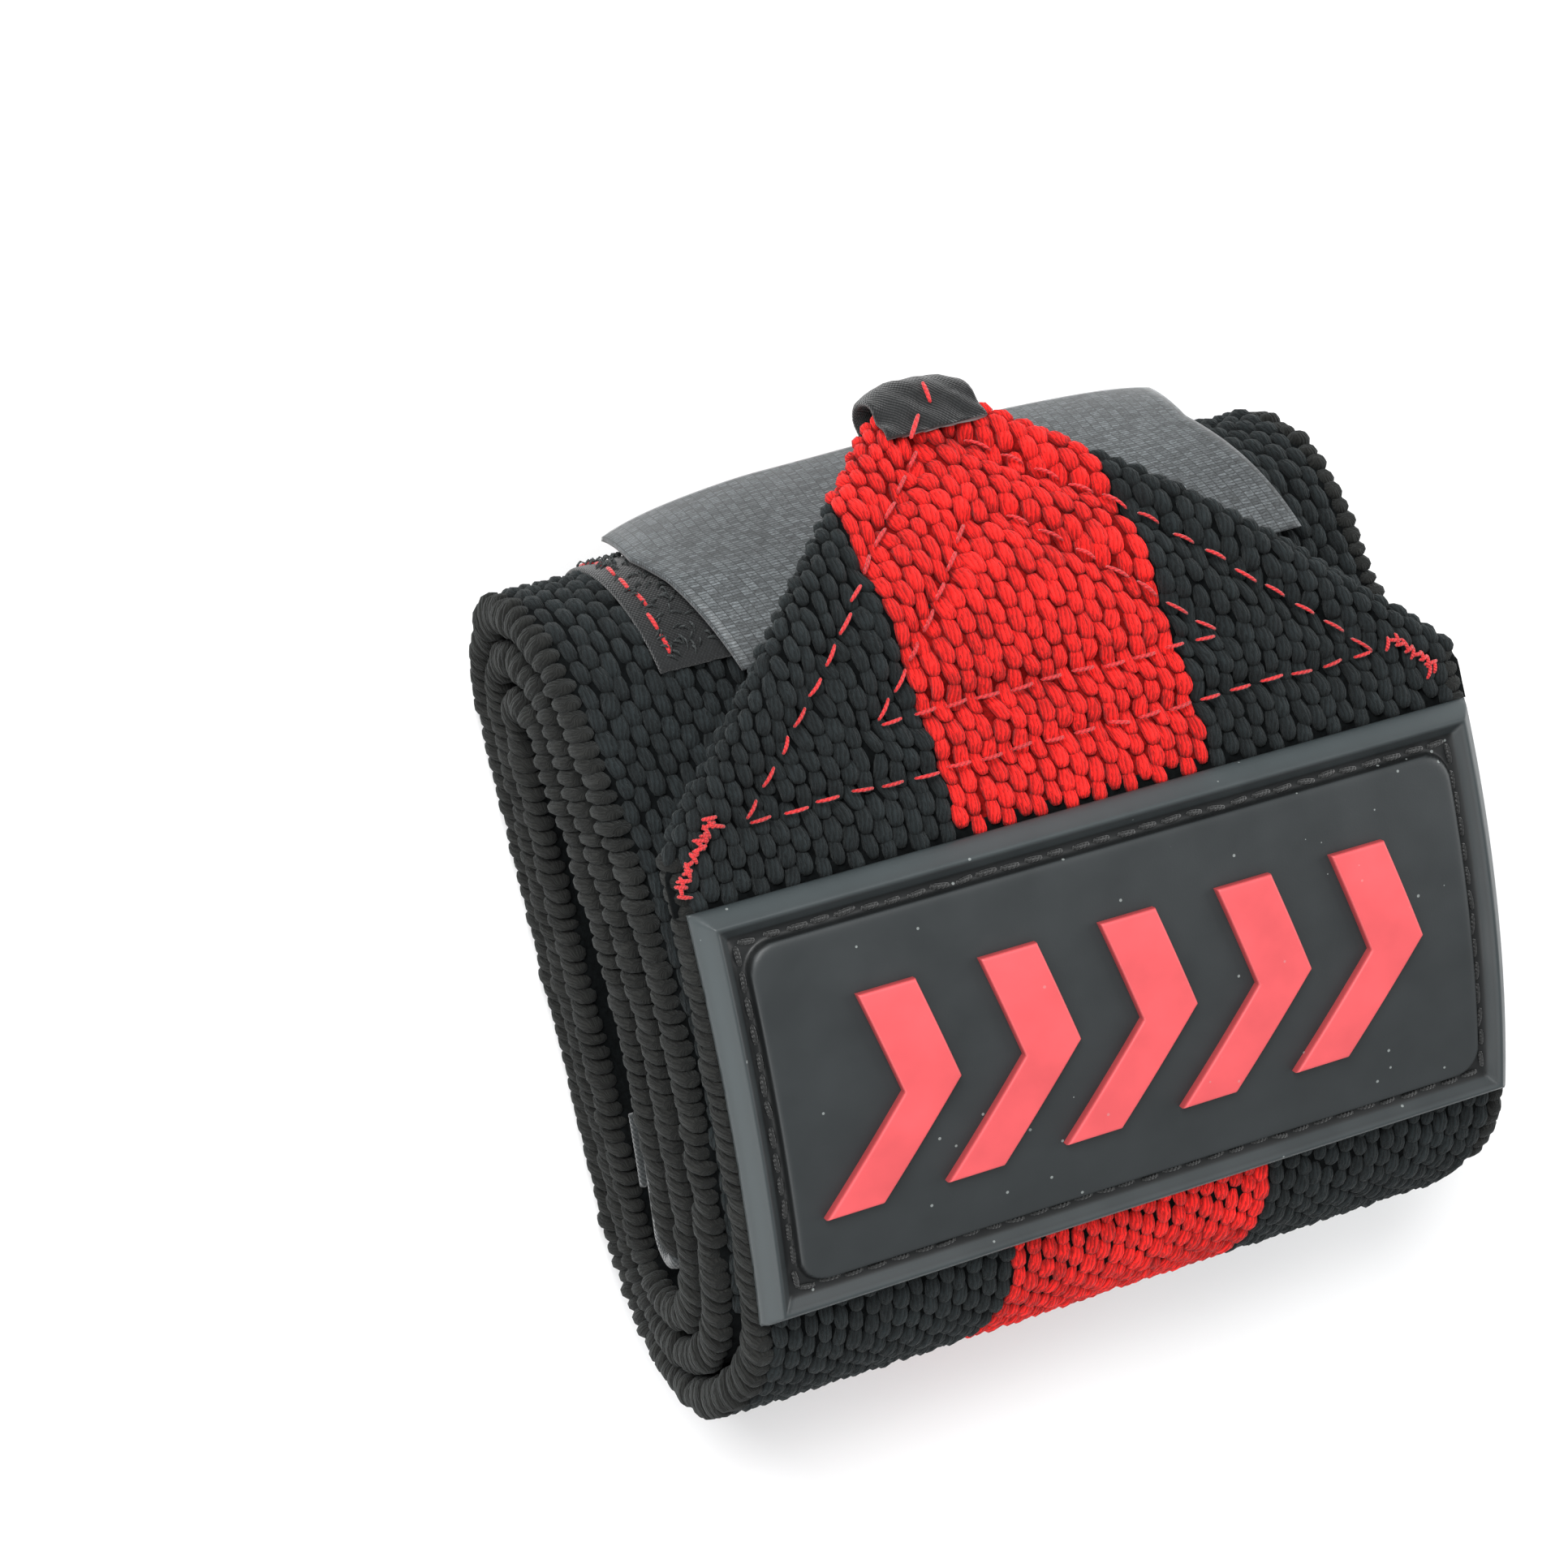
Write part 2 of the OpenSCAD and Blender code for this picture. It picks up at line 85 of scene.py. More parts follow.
# ---- sizes and colours that a user may change ----
def size(name, text, default):
    return bpy.props.FloatProperty(name=name, description=text, default=default, min=0, precision=4,
                                   unit="LENGTH")


def colour(name, text, default):
    return bpy.props.FloatVectorProperty(name=name, description=text, default=default, min=0, max=1,
                                         size=3, subtype="COLOR")


class WrapSizes(bpy.types.PropertyGroup):
    """Sizes of the band, the roll, the patch and the pointed end"""
    band_width: size("Band width", "Width of the knitted band", 0.077)
    band_thickness: size("Band thickness", "Thickness of the knitted band", 0.0036)
    layer_pitch: size("Layer pitch", "Distance from one wound layer to the next", 0.004)
    turns: bpy.props.IntProperty(name="Turns", description="Full turns in the roll", default=3, min=2)
    fold_span: size("Fold span", "Distance between the centres of the two folds", 0.048)
    pocket: size("Pocket", "Half the height of the pocket round the inner end", 0.0046)
    high_fold: size("High fold", "Radius of the innermost high fold", 0.003)
    front_radius: size("Front radius", "Radius of the innermost front face", 0.08)
    side_creep: size("Side creep", "How far the layers creep sideways at the high end", 0.0055)
    low_creep: size("Low creep", "How far the layers creep sideways at the low end", 0.0037)
    column_pitch: size("Column pitch", "Distance between knit columns", 0.00145)
    row_pitch: size("Row pitch", "Distance between knit rows", 0.00205)
    bead_pitch: size("Bead pitch", "Distance between the loops along a selvedge", 0.00138)
    patch_width: size("Patch width", "Width of the rubber patch", 0.075)
    patch_length: size("Patch length", "Length of the rubber patch", 0.0378)
    rim_height: size("Rim height", "Height of the patch's rim", 0.0025)
    point_length: size("Point length", "Length of the pointed end", 0.037)
    shoulder: size("Shoulder", "Straight sides before the corners fold in", 0.004)
    tip_half_width: size("Tip half width", "Half the width of the blunt tip", 0.0045)
    tape_width: size("Tape width", "Width of the hook tape", 0.054)
    stitch: size("Stitch", "Length of one stitch and its gap", 0.003)


class WrapColours(bpy.types.PropertyGroup):
    """Colours of the yarns, tapes and rubber"""
    charcoal: colour("Charcoal yarn", "Dark yarn of the band", (0.0075, 0.0102, 0.011))
    red: colour("Red yarn", "Yarn of the centre stripe", (0.6, 0.0115, 0.0095))
    selvedge: colour("Selvedge yarn", "Yarn of the beaded edges", (0.0098, 0.0101, 0.0092))
    thread: colour("Red thread", "Sewing thread", (0.6, 0.009, 0.012))
    rubber: colour("Rubber", "Panel of the patch", (0.017, 0.0205, 0.0218))
    rim: colour("Rim", "Rim of the patch", (0.036, 0.046, 0.0485))
    chevron: colour("Chevron rubber", "Raised chevrons", (0.6, 0.075, 0.083))
    tape: colour("Hook tape", "Woven back of the hook tape", (0.062, 0.069, 0.072))
    pile: colour("Loop pile", "Loop patch and other black tapes", (0.008, 0.009, 0.0095))


# ---- the band's path, in millimetres, with [y, z] as a complex number y + iz ----
def arc(centre, radius, a0, a1):
    """Places centre + radius e^(ia) from angle a0 to a1 in radians, with their normals' angles."""
    a = np.linspace(a0, a1, int(abs(a1 - a0) * radius / 0.4) + 8)
    return centre + radius * np.exp(1j * a), a, np.full(len(a), radius)


def straight(start, end, a):
    """Places on a line, with one normal angle."""
    t = np.linspace(0, 1, 30)
    return start + (end - start) * t, np.full(30, a), np.full(30, 1e6)


class Route:
    """A path of arcs and lines. A place is mid(s) + v e^(i angle(s)), where s is the distance along it."""

    def __init__(self, parts):
        self.mid = np.concatenate([p[0] for p in parts])
        self.angle = np.concatenate([p[1] for p in parts])
        self.radius = np.concatenate([p[2] for p in parts])
        self.s = np.concatenate([[0], np.cumsum(np.abs(np.diff(self.mid)))])
        counts = np.cumsum([0] + [len(p[0]) for p in parts])
        self.marks = [float(self.s[min(c, len(self.s) - 1)]) for c in counts]

    def middle(self, s):
        return np.interp(s, self.s, self.mid.real) + 1j * np.interp(s, self.s, self.mid.imag)

    def lift(self, s, v):
        """A place at s and v, where v reaches inwards to 0.8 of the arc's radius at most."""
        v = np.maximum(v, -0.8 * np.interp(s, self.s, self.radius))
        return self.middle(s) + v * np.exp(1j * np.interp(s, self.s, self.angle))


class Lay:
    """Where the wound band lies. Each turn is a straight back, a low fold, a curved front and a high fold,
    and in turn k each arc's radius is its first radius plus k times the layer pitch."""

    def __init__(self, sizes):
        mm = {k: getattr(sizes, k) / MM for k in sizes.__annotations__ if k != "turns"}
        k = sizes.turns
        self.mm = mm
        self.half_w, self.half_t = mm["band_width"] / 2, mm["band_thickness"] / 2
        pitch, front_r, high_r = mm["layer_pitch"], mm["front_radius"], mm["high_fold"]
        low_r = mm["pocket"] + self.half_t - pitch
        low_c = complex(-mm["fold_span"] / 2, low_r + k * pitch + self.half_t)
        high_c = complex(mm["fold_span"] / 2, low_c.imag - low_r - pitch + high_r)
        d = high_c - low_c
        to_low, to_high = front_r - low_r, front_r - high_r
        along = (to_low**2 - to_high**2 + abs(d) ** 2) / (2 * abs(d))
        front_c = low_c + (along - 1j * np.sqrt(to_low**2 - along**2)) * d / abs(d)
        low_a, high_a = np.angle(low_c - front_c), np.angle(high_c - front_c)
        self.front_c, self.high_c = front_c, high_c
        self.roll_h = front_c.imag + front_r + k * pitch + self.half_t
        self.face_r = front_r + k * pitch + self.half_t
        self.patch_a0 = low_a - np.radians(0.8)
        self.patch_a1 = self.patch_a0 - 2 * np.arcsin(mm["patch_length"] / 2 / self.face_r)
        self.point_a = self.patch_a1 - np.radians(0.8)
        self.fold_r = high_r + (k - 1) * pitch + self.half_t

        self.core_a = low_a - np.radians(1)
        parts = [arc(front_c, front_r, self.core_a, high_a), arc(high_c, high_r, high_a, -QUARTER)]
        for i in range(1, k + 1):
            low_i, front_i, high_i = low_r + i * pitch, front_r + i * pitch, high_r + i * pitch
            parts.append(straight(high_c - 1j * (high_i - pitch), low_c - 1j * low_i, -QUARTER))
            parts.append(arc(low_c, low_i, -QUARTER, low_a - TURN))
            parts.append(arc(front_c, front_i, low_a, self.point_a if i == k else high_a))
            parts.append(arc(high_c, high_i, high_a, -QUARTER))
        parts.pop()
        turn = 0.0
        for n, (mid, angle, radius) in enumerate(parts):
            while n and angle[0] + turn > last_a + 0.5:
                turn -= TURN
            parts[n] = (mid, angle + turn, radius)
            last_a = parts[n][1][-1]
        self.band = Route(parts)
        self.hinge_s, self.face_end = self.band.marks[-2], self.band.marks[-1]
        self.last_front = self.band.marks[-6]

        self.tape_r = self.fold_r + SEAT + LOOP_T + CLEAR + HOOK_T
        self.point_r = self.tape_r + TAPE_T + CLEAR + CORNER_PLY + SEAT
        start = front_c + (self.face_r - TOP_PLY) * np.exp(1j * self.point_a)
        to_start = start - high_c
        a0 = np.angle(to_start) - np.arccos(self.point_r / abs(to_start))
        a1 = np.radians(52)
        lead = np.sqrt(abs(to_start) ** 2 - self.point_r**2)
        bend_end = high_c + self.point_r * np.exp(1j * a1)
        bend = self.point_r * (a0 - a1)
        self.point_l, self.shoulder = mm["point_length"], mm["shoulder"]
        rest = self.point_l + 3 - lead - bend
        down_line = np.exp(1j * (a1 - QUARTER))
        lap = self.point_a + 1.45 / self.face_r
        self.point = Route([arc(front_c, self.face_r - TOP_PLY, lap, self.point_a),
                            straight(start, start + lead * np.exp(1j * (a0 - QUARTER)), a0),
                            arc(high_c, self.point_r, a0, a1),
                            straight(bend_end, bend_end + rest * down_line, a1)])
        self.point.s -= self.point.marks[1]
        tip = self.point.lift(self.point_l + 1, 0)
        low_edge = low_c.real - low_r - k * pitch - self.half_t
        self.home = np.array([mm["side_creep"] / 2, -(low_edge + tip.real + 2) / 2, 0])
        self.tip_half = mm["tip_half_width"]

    def at_home(self, x, yz):
        """Points in metres in the row's frame from x and the complex place yz."""
        x, y, z = np.broadcast_arrays(x + self.home[0], yz.real + self.home[1], yz.imag)
        return np.stack([x, y, z], -1) * MM

    def creep_at(self, yz):
        """-creep (1 - (z/height)³), where creep grows from the low fold to the high fold."""
        f = np.clip(yz.real / self.mm["fold_span"] + 0.5, 0, 1)
        most = self.mm["low_creep"] * (1 - f) + self.mm["side_creep"] * f
        return -most * (1 - np.minimum(yz.imag / self.roll_h, 1) ** 3)

    def creep(self, s):
        """Sideways shift of the wound layers, fading out before the hinge."""
        yz = self.band.middle(s)
        fade = np.clip((self.hinge_s - s) / 14, 0, 1)
        return self.creep_at(yz) * fade * fade * (3 - 2 * fade)

    def wound(self, x, s, v):
        """x across the band, s along it from the inner end, v out of its middle."""
        return self.at_home(x + self.creep(s), self.band.lift(s, v))

    def on_arc(self, centre, radius, x, a):
        """x across, at angle a and a radius about a centre."""
        return self.at_home(x, centre + radius * np.exp(1j * a))

    def on_point(self, x, s, v):
        """The pointed end's own surface: v is 0 under its upper ply."""
        shift = TIP_DRIFT * np.maximum(s - self.shoulder, 0) / (self.point_l - self.shoulder)
        return self.at_home(x + shift, self.point.lift(s, v))


_kept = {}


def lay():
    """The lay for the scene's sizes, worked out once."""
    if "lay" not in _kept:
        _kept["lay"] = Lay(bpy.context.scene.wrap_sizes)
    return _kept["lay"]


# ---- meshes ----
def link(name, mesh, material, smooth=True):
    mesh.polygons.foreach_set("use_smooth", np.full(len(mesh.polygons), smooth))
    mesh.materials.append(material)
    piece = bpy.data.objects.new(name, mesh)
    bpy.context.scene.collection.objects.link(piece)
    return piece


def mesh_of(name, points, faces, uv=None):
    """Mesh from points (n, 3) and a list of face arrays, each (m, 3) or (m, 4), with uv for each corner."""
    mesh = bpy.data.meshes.new(name)
    corners = np.concatenate([f.ravel() for f in faces]).astype(np.int32)
    totals = np.concatenate([np.full(len(f), f.shape[1]) for f in faces])
    starts = np.concatenate([[0], np.cumsum(totals)[:-1]]).astype(np.int32)
    mesh.vertices.add(len(points))
    mesh.vertices.foreach_set("co", points.astype(np.float32).ravel())
    mesh.loops.add(len(corners))
    mesh.loops.foreach_set("vertex_index", corners)
    mesh.polygons.add(len(totals))
    mesh.polygons.foreach_set("loop_start", starts)
    if uv is not None:
        mesh.uv_layers.new(name="strand").data.foreach_set("uv", uv.astype(np.float32).ravel())
    mesh.update(calc_edges=True)
    return mesh


def mark(mesh, name, values):
    mesh.attributes.new(name, "FLOAT", "POINT").data.foreach_set("value", values.astype(np.float32).ravel())


class Pod:
    """Closed teardrop along u from -1 to 1. Its radius is (1 - u²)^(p/2) (1 + 0.16 u), on an angle w.
    cells holds u, across = r cos w and up = r sin w for each of its points."""

    def __init__(self, rings, sides, p=0.8, taper=0.16):
        t = np.linspace(0, np.pi, rings + 2)[1:-1]
        w = np.arange(sides) / sides * TURN
        u = -np.cos(t)
        r = np.sin(t) ** p * (1 + taper * u)
        across, up = np.outer(r, np.cos(w)), np.outer(r, np.sin(w))
        grid = np.stack([np.repeat(u, sides), across.ravel(), up.ravel()], -1)
        self.cells = np.concatenate([[[-1, 0, 0]], grid, [[1, 0, 0]]])
        i, j = np.meshgrid(np.arange(rings - 1), np.arange(sides), indexing="ij")
        a, b = (1 + i * sides + j).ravel(), (1 + i * sides + (j + 1) % sides).ravel()
        self.quads = np.stack([a, b, b + sides, a + sides], -1)
        j = np.arange(sides)
        k = (j + 1) % sides
        last = 1 + (rings - 1) * sides
        top = len(self.cells) - 1
        self.tris = np.concatenate([np.stack([np.zeros(sides, int), 1 + k, 1 + j], -1),
                                    np.stack([np.full(sides, top), last + j, last + k], -1)])
        v = np.concatenate([[0.5], np.tile(j / sides, rings), [0.5]])
        uu = (self.cells[:, 0] + 1) / 2
        uv = np.stack([uu, v], -1)
        quad_uv, tri_uv = uv[self.quads], uv[self.tris]
        for block in (quad_uv, tri_uv):
            wraps = block[..., 1].max(1) - block[..., 1].min(1) > 0.6
            low = wraps[:, None] & (block[..., 1] < 0.3)
            block[..., 1] += low
        self.uv = (quad_uv, tri_uv)


def pods(name, pod, points, material, rng, **tags):
    """One mesh of many pods. points is (n, cells, 3), and each tag holds a number for each pod."""
    n, k = points.shape[:2]
    step = (np.arange(n) * k)[:, None, None]
    faces = [(step + f[None]).reshape(-1, f.shape[1]) for f in (pod.quads, pod.tris)]
    uv = np.concatenate([np.tile(block.reshape(-1, 2), (n, 1)) for block in pod.uv])
    mesh = mesh_of(name, points.reshape(-1, 3), faces, uv)
    for tag, values in tags.items():
        mark(mesh, tag, values.ravel() if np.ndim(values) == 2 else np.repeat(values, k))
    mark(mesh, "tone", np.repeat(rng.random(n), k))
    return face_out(link(name, mesh, material))


def grid_faces(rows, cols, close_rows=False, close_cols=False):
    """Quads of a grid of points kept row by row."""
    i = np.arange(rows if close_rows else rows - 1)
    j = np.arange(cols if close_cols else cols - 1)
    i, j = (g.ravel() for g in np.meshgrid(i, j, indexing="ij"))
    k, m = (i + 1) % rows, (j + 1) % cols
    return np.stack([i * cols + j, i * cols + m, k * cols + m, k * cols + j], -1)


def tube(name, rings, material, **tags):
    """Closed tube through rings (n, m, 3) with fans at both ends. UV runs round it and along it."""
    n, m = rings.shape[:2]
    ends = np.stack([rings[0].mean(0), rings[-1].mean(0)])
    points = np.concatenate([rings.reshape(-1, 3), ends])
    quads = grid_faces(n, m, close_cols=True)
    j = np.arange(m)
    k = (j + 1) % m
    last = (n - 1) * m
    fans = np.concatenate([np.stack([np.full(m, n * m), k, j], -1),
                           np.stack([np.full(m, n * m + 1), last + j, last + k], -1)])
    along = np.concatenate([[0], np.cumsum(np.linalg.norm(np.diff(rings.mean(1), axis=0), axis=1))])
    hoop = np.linalg.norm(np.roll(rings[n // 2], -1, 0) - rings[n // 2], axis=1)
    around = np.concatenate([[0], np.cumsum(hoop)])
    i, jj = np.divmod(quads[:, 0], m)
    square = ((0, 0), (1, 0), (1, 1), (0, 1))
    quad_uv = np.stack([np.stack([around[jj + a], along[i + b]], -1) for a, b in square], 1)
    uv = np.concatenate([quad_uv.reshape(-1, 2), np.zeros((fans.size, 2))]) / MM
    mesh = mesh_of(name, points, [quads, fans], uv)
    for tag, values in tags.items():
        mark(mesh, tag, values)
    return face_out(link(name, mesh, material))


def slab(name, sheets, material, **tags):
    """Closed mesh of each pair of upper and lower point grids, with a wall round their border."""
    m, k = np.shape(sheets[0][0])[:2]
    upper = grid_faces(m, k)
    border = np.concatenate([np.arange(k), np.arange(1, m) * k + k - 1,
                             (m - 1) * k + np.arange(k - 2, -1, -1), np.arange(m - 2, 0, -1) * k])
    after = np.roll(border, -1)
    wall = np.stack([border, border + m * k, after + m * k, after], -1)
    faces = [part + i * 2 * m * k for i in range(len(sheets)) for part in (upper, upper[:, ::-1] + m * k, wall)]
    mesh = mesh_of(name, np.concatenate([np.reshape(pair, (-1, 3)) for pair in sheets]), faces)
    for tag, values in tags.items():
        mark(mesh, tag, values)
    return face_out(link(name, mesh, material))


def face_out(piece):
    """The piece, with every face turned outwards."""
    shape = bmesh.new()
    shape.from_mesh(piece.data)
    bmesh.ops.recalc_face_normals(shape, faces=shape.faces)
    shape.to_mesh(piece.data)
    shape.free()
    return piece


def section(span, skin, corner):
    """Rounded rectangle of (x, v) pairs with a corner radius, anticlockwise from the lower left."""
    x0, x1, v0, v1 = span[0] + corner, span[1] - corner, skin[0] + corner, skin[1] - corner
    turn = np.linspace(0, QUARTER, 4)
    points = []
    for cx, cv, a in ((x0, v0, np.pi), (x1, v0, 1.5 * np.pi), (x1, v1, 0), (x0, v1, 0.5 * np.pi)):
        points += [(cx + corner * np.cos(a + t), cv + corner * np.sin(a + t)) for t in turn]
    return np.array(points)


def ribbon(name, place, s, span, skin, corner, material, **tags):
    """Closed strip: the section carried along s by a place function of (x, s, v)."""
    ring = section(span, skin, corner)
    rings = place(ring[None, :, 0], s[:, None], ring[None, :, 1])
    return tube(name, rings, material, **tags)


def normals(a, b):
    """Unit normals of the curve (a, b), as two columns."""
    da, db = np.gradient(a), np.gradient(b)
    length = np.hypot(da, db)
    return (-db / length)[:, None], (da / length)[:, None]


# ---- materials ----
class Nodes:
    """Small helper that adds nodes to a material and links them."""

    def __init__(self, name):
        self.material = bpy.data.materials.new(name)
        self.material.use_nodes = True
        self.tree = self.material.node_tree
        self.shader = self.tree.nodes["Principled BSDF"]

    def add(self, kind, inputs=(), **settings):
        node = self.tree.nodes.new("ShaderNode" + kind)
        for key, value in settings.items():
            setattr(node, key, value)
        for key, value in dict(inputs).items():
            if isinstance(value, bpy.types.NodeSocket):
                self.tree.links.new(value, node.inputs[key])
            else:
                node.inputs[key].default_value = value
        return node

    def math(self, what, a, b=0.0, c=0.0):
        return self.add("Math", {0: a, 1: b, 2: c}, operation=what).outputs[0]

    def times(self, a, b):
        return self.math("MULTIPLY", a, b)

    def wave(self, phase):
        """(1 + sin(2 pi phase)) / 2."""
        return self.math("MULTIPLY_ADD", self.math("SINE", self.times(phase, TURN)), 0.5, 0.5)

    def mix(self, factor, a, b, blend="MIX"):
        node = self.add("Mix", {0: factor}, data_type="RGBA", blend_type=blend)
        for index, value in ((6, a), (7, b)):
            if isinstance(value, bpy.types.NodeSocket):
                self.tree.links.new(value, node.inputs[index])
            else:
                node.inputs[index].default_value = (*value[:3], 1)
        return node.outputs[2]

    def lit(self, base, light):
        """A colour times a number."""
        grey = self.add("CombineXYZ", {0: light, 1: light, 2: light}).outputs[0]
        return self.mix(1.0, base, grey, "MULTIPLY")

    def where(self):
        return self.add("TexCoord").outputs["Object"]

    def uv(self):
        return self.add("UVMap", uv_map="strand").outputs[0]

    def uv_parts(self, uv):
        return self.add("SeparateXYZ", {0: uv}).outputs[:2]

    def ramp(self, value, low, high, out_low=0.0, out_high=1.0):
        return self.add("MapRange", {0: value, 1: low, 2: high, 3: out_low, 4: out_high}).outputs[0]

    def attribute(self, name):
        return self.add("Attribute", attribute_name=name).outputs["Fac"]

    def noise(self, vector, scale, detail=2.0, rough=0.5, w=None):
        node = self.add("TexNoise", {"Scale": scale, "Detail": detail, "Roughness": rough},
                        noise_dimensions="3D" if w is None else "4D")
        self.tree.links.new(vector, node.inputs["Vector"])
        if w is not None:
            self.tree.links.new(w, node.inputs["W"])
        return node.outputs["Fac"]

    def bump(self, height, strength, distance, under=None):
        node = self.add("Bump", {"Height": height, "Strength": strength, "Distance": distance})
        if under is not None:
            self.tree.links.new(under, node.inputs["Normal"])
        return node.outputs["Normal"]

    def finish(self, colour=None, normal=None, rough=None, **sockets):
        for value, key in ((colour, "Base Color"), (normal, "Normal"), (rough, "Roughness")):
            if value is not None:
                self.tree.links.new(value, self.shader.inputs[key])
        for key, value in sockets.items():
            self.shader.inputs[key.replace("_", " ")].default_value = value
        return self.material


def yarn(name, dark, light, strands=11.0, twist=1.6, rough=0.85, sheen=0.1):
    """Plied yarn. Fibres run along each loop with a little twist: stripes of the sine of strands v + twist u
    + noise. The stripes are bumps, and are also painted into the colour as highlights along the strands and
    shade between them. The colour is painted darker, as shade, where the loop is deep in the cloth, and each
    loop has its own tone."""
    n = Nodes(name)
    tone, uv, where = n.attribute("tone"), n.uv(), n.where()
    u, v = n.uv_parts(uv)
    shift = n.times(tone, 37.0)
    stretch = n.add("Mapping", {"Vector": uv, "Scale": (1.2, 9.0, 1.0)}).outputs[0]
    streak = n.noise(stretch, 2.4, 3.0, 0.6, w=shift)
    phase = n.math("MULTIPLY_ADD", u, twist, n.times(streak, 2.2))
    phase = n.math("ADD", n.times(v, strands), n.math("ADD", phase, shift))
    fibre = n.math("MULTIPLY_ADD", n.wave(phase), 0.4, n.times(streak, 0.8))
    # Painted highlights and shade: the fibre stripes make the colour lighter along the strands and darker
    # between them.
    shade = n.times(n.ramp(fibre, 0.25, 0.95, 0.35, 1.7), n.ramp(tone, 0.0, 1.0, 0.84, 1.14))
    shade = n.times(shade, n.ramp(n.noise(where, 140.0, 2.0), 0.3, 0.7, 0.85, 1.15))
    # Painted shade: darker at a loop's two ends and on its lower flanks, where shade falls in the cloth.
    shade = n.times(shade, n.ramp(n.attribute("depth"), 0.1, 1.0, 0.05, 1.12))
    fluff = n.bump(n.noise(where, 5200.0, 3.0, 0.7), 0.6, 0.00006, n.bump(fibre, 1.0, 0.00022))
    return n.finish(n.lit(n.mix(n.attribute("dye"), dark, light), shade), fluff, Roughness=rough,
                    Sheen_Weight=sheen, Sheen_Roughness=0.45, Sheen_Tint=(0.55, 0.6, 0.6, 1),
                    Specular_IOR_Level=0.2)


def under_cloth(name, dark, light):
    """Yarn that shows between the loops, dyed as they are and painted darker, as the shade between them."""
    n = Nodes(name)
    grain = n.noise(n.where(), 1800.0, 3.0, 0.6)
    # Painted shade: 0.1 to 0.4 of the dyed colour, varied by the grain.
    colour = n.lit(n.mix(n.attribute("dye"), dark, light), n.ramp(grain, 0.3, 0.7, 0.1, 0.4))
    return n.finish(colour, n.bump(grain, 0.8, 0.0002), Roughness=0.95, Specular_IOR_Level=0.1)


def thread_finish(name, shade):
    """Twisted sewing thread: slanted stripes along each stitch."""
    n = Nodes(name)
    u, v = n.uv_parts(n.uv())
    wave = n.wave(n.math("MULTIPLY_ADD", u, 5.0, n.times(v, 2.0)))
    light = n.times(n.ramp(wave, 0.0, 1.0, 0.6, 1.1), n.ramp(n.attribute("tone"), 0.0, 1.0, 0.8, 1.1))
    return n.finish(n.lit(shade, light), n.bump(wave, 0.7, 0.00008), Roughness=0.5, Sheen_Weight=0.25,
                    Specular_IOR_Level=0.4)


def rubber_finish(name, shade, edge, dust=0.5):
    """Soft moulded rubber: satin, faintly mottled, with specks of dust and a paler rim. Painted shade darkens
    the sewing groove, and on the chevrons the edge colour is painted shade on their walls.
    """
    n = Nodes(name)
    where = n.where()
    broad = n.noise(where, 160.0, 3.0)
    cells = n.add("TexVoronoi", {"Vector": where, "Scale": 700.0, "Randomness": 1.0})
    near = n.math("LESS_THAN", cells.outputs["Distance"], 0.1)
    rare = n.math("GREATER_THAN", n.add("SeparateColor", {0: cells.outputs["Color"]}).outputs[0], 0.86)
    # The broad mottle is the rubber's own; the attribute ramp paints shade into the sewing groove.
    light = n.times(n.ramp(broad, 0.3, 0.7, 0.9, 1.1), n.ramp(n.attribute("depth"), 0.0, 1.0, 0.25, 1.0))
    base = n.lit(n.mix(n.attribute("rim"), shade, edge), light)
    colour = n.mix(n.times(n.times(near, rare), dust), base, (0.32, 0.35, 0.34))
    return n.finish(colour, n.bump(n.noise(where, 5200.0, 2.0), 0.12, 0.00005),
                    n.ramp(broad, 0.3, 0.7, 0.42, 0.54), Specular_IOR_Level=0.45)


def satin_tape(name, shade):
    """Fine satin weave in UV millimetres: short floats in a diagonal order, in mixed greys."""
    n = Nodes(name)
    uv = n.uv()
    brick = n.add("TexBrick", {"Vector": uv, "Color1": (0.6, 0.6, 0.6, 1), "Color2": (1.4, 1.4, 1.4, 1),
                               "Mortar": (0.3, 0.3, 0.3, 1), "Scale": 1.0, "Mortar Size": 0.05,
                               "Mortar Smooth": 0.5, "Brick Width": 0.85, "Row Height": 0.3},
                  offset=0.37, offset_frequency=1)
    speck = n.noise(n.add("Mapping", {"Vector": uv, "Scale": (2.2, 5.0, 1.0)}).outputs[0], 1.4, 3.0, 0.75)
    light = n.times(n.ramp(speck, 0.32, 0.68, 0.35, 1.9),
                    n.ramp(n.noise(n.where(), 90.0, 2.0), 0.3, 0.7, 0.85, 1.15))
    colour = n.lit(n.mix(1.0, shade, brick.outputs["Color"], "MULTIPLY"), light)
    return n.finish(colour, n.bump(brick.outputs["Fac"], -0.6, 0.00012), Roughness=0.55,
                    Sheen_Weight=0.3, Sheen_Roughness=0.35, Specular_IOR_Level=0.4)


def plain_weave(name, shade, pitch=0.35, rough=0.85):
    """Tight plain weave: the product of two sines in UV millimetres, one for warp and one for weft."""
    n = Nodes(name)
    warp, weft = (n.math("SINE", n.times(part, TURN / pitch)) for part in n.uv_parts(n.uv()))
    weave = n.math("MULTIPLY_ADD", n.times(warp, weft), 0.5, 0.5)
    grain = n.noise(n.where(), 2500.0, 3.0, 0.6)
    light = n.times(n.ramp(weave, 0.0, 1.0, 0.6, 1.3), n.ramp(grain, 0.3, 0.7, 0.7, 1.3))
    normal = n.bump(grain, 0.4, 0.00008, n.bump(weave, 0.7, 0.00012))
    return n.finish(n.lit(shade, light), normal, Roughness=rough, Sheen_Weight=0.3, Specular_IOR_Level=0.25)


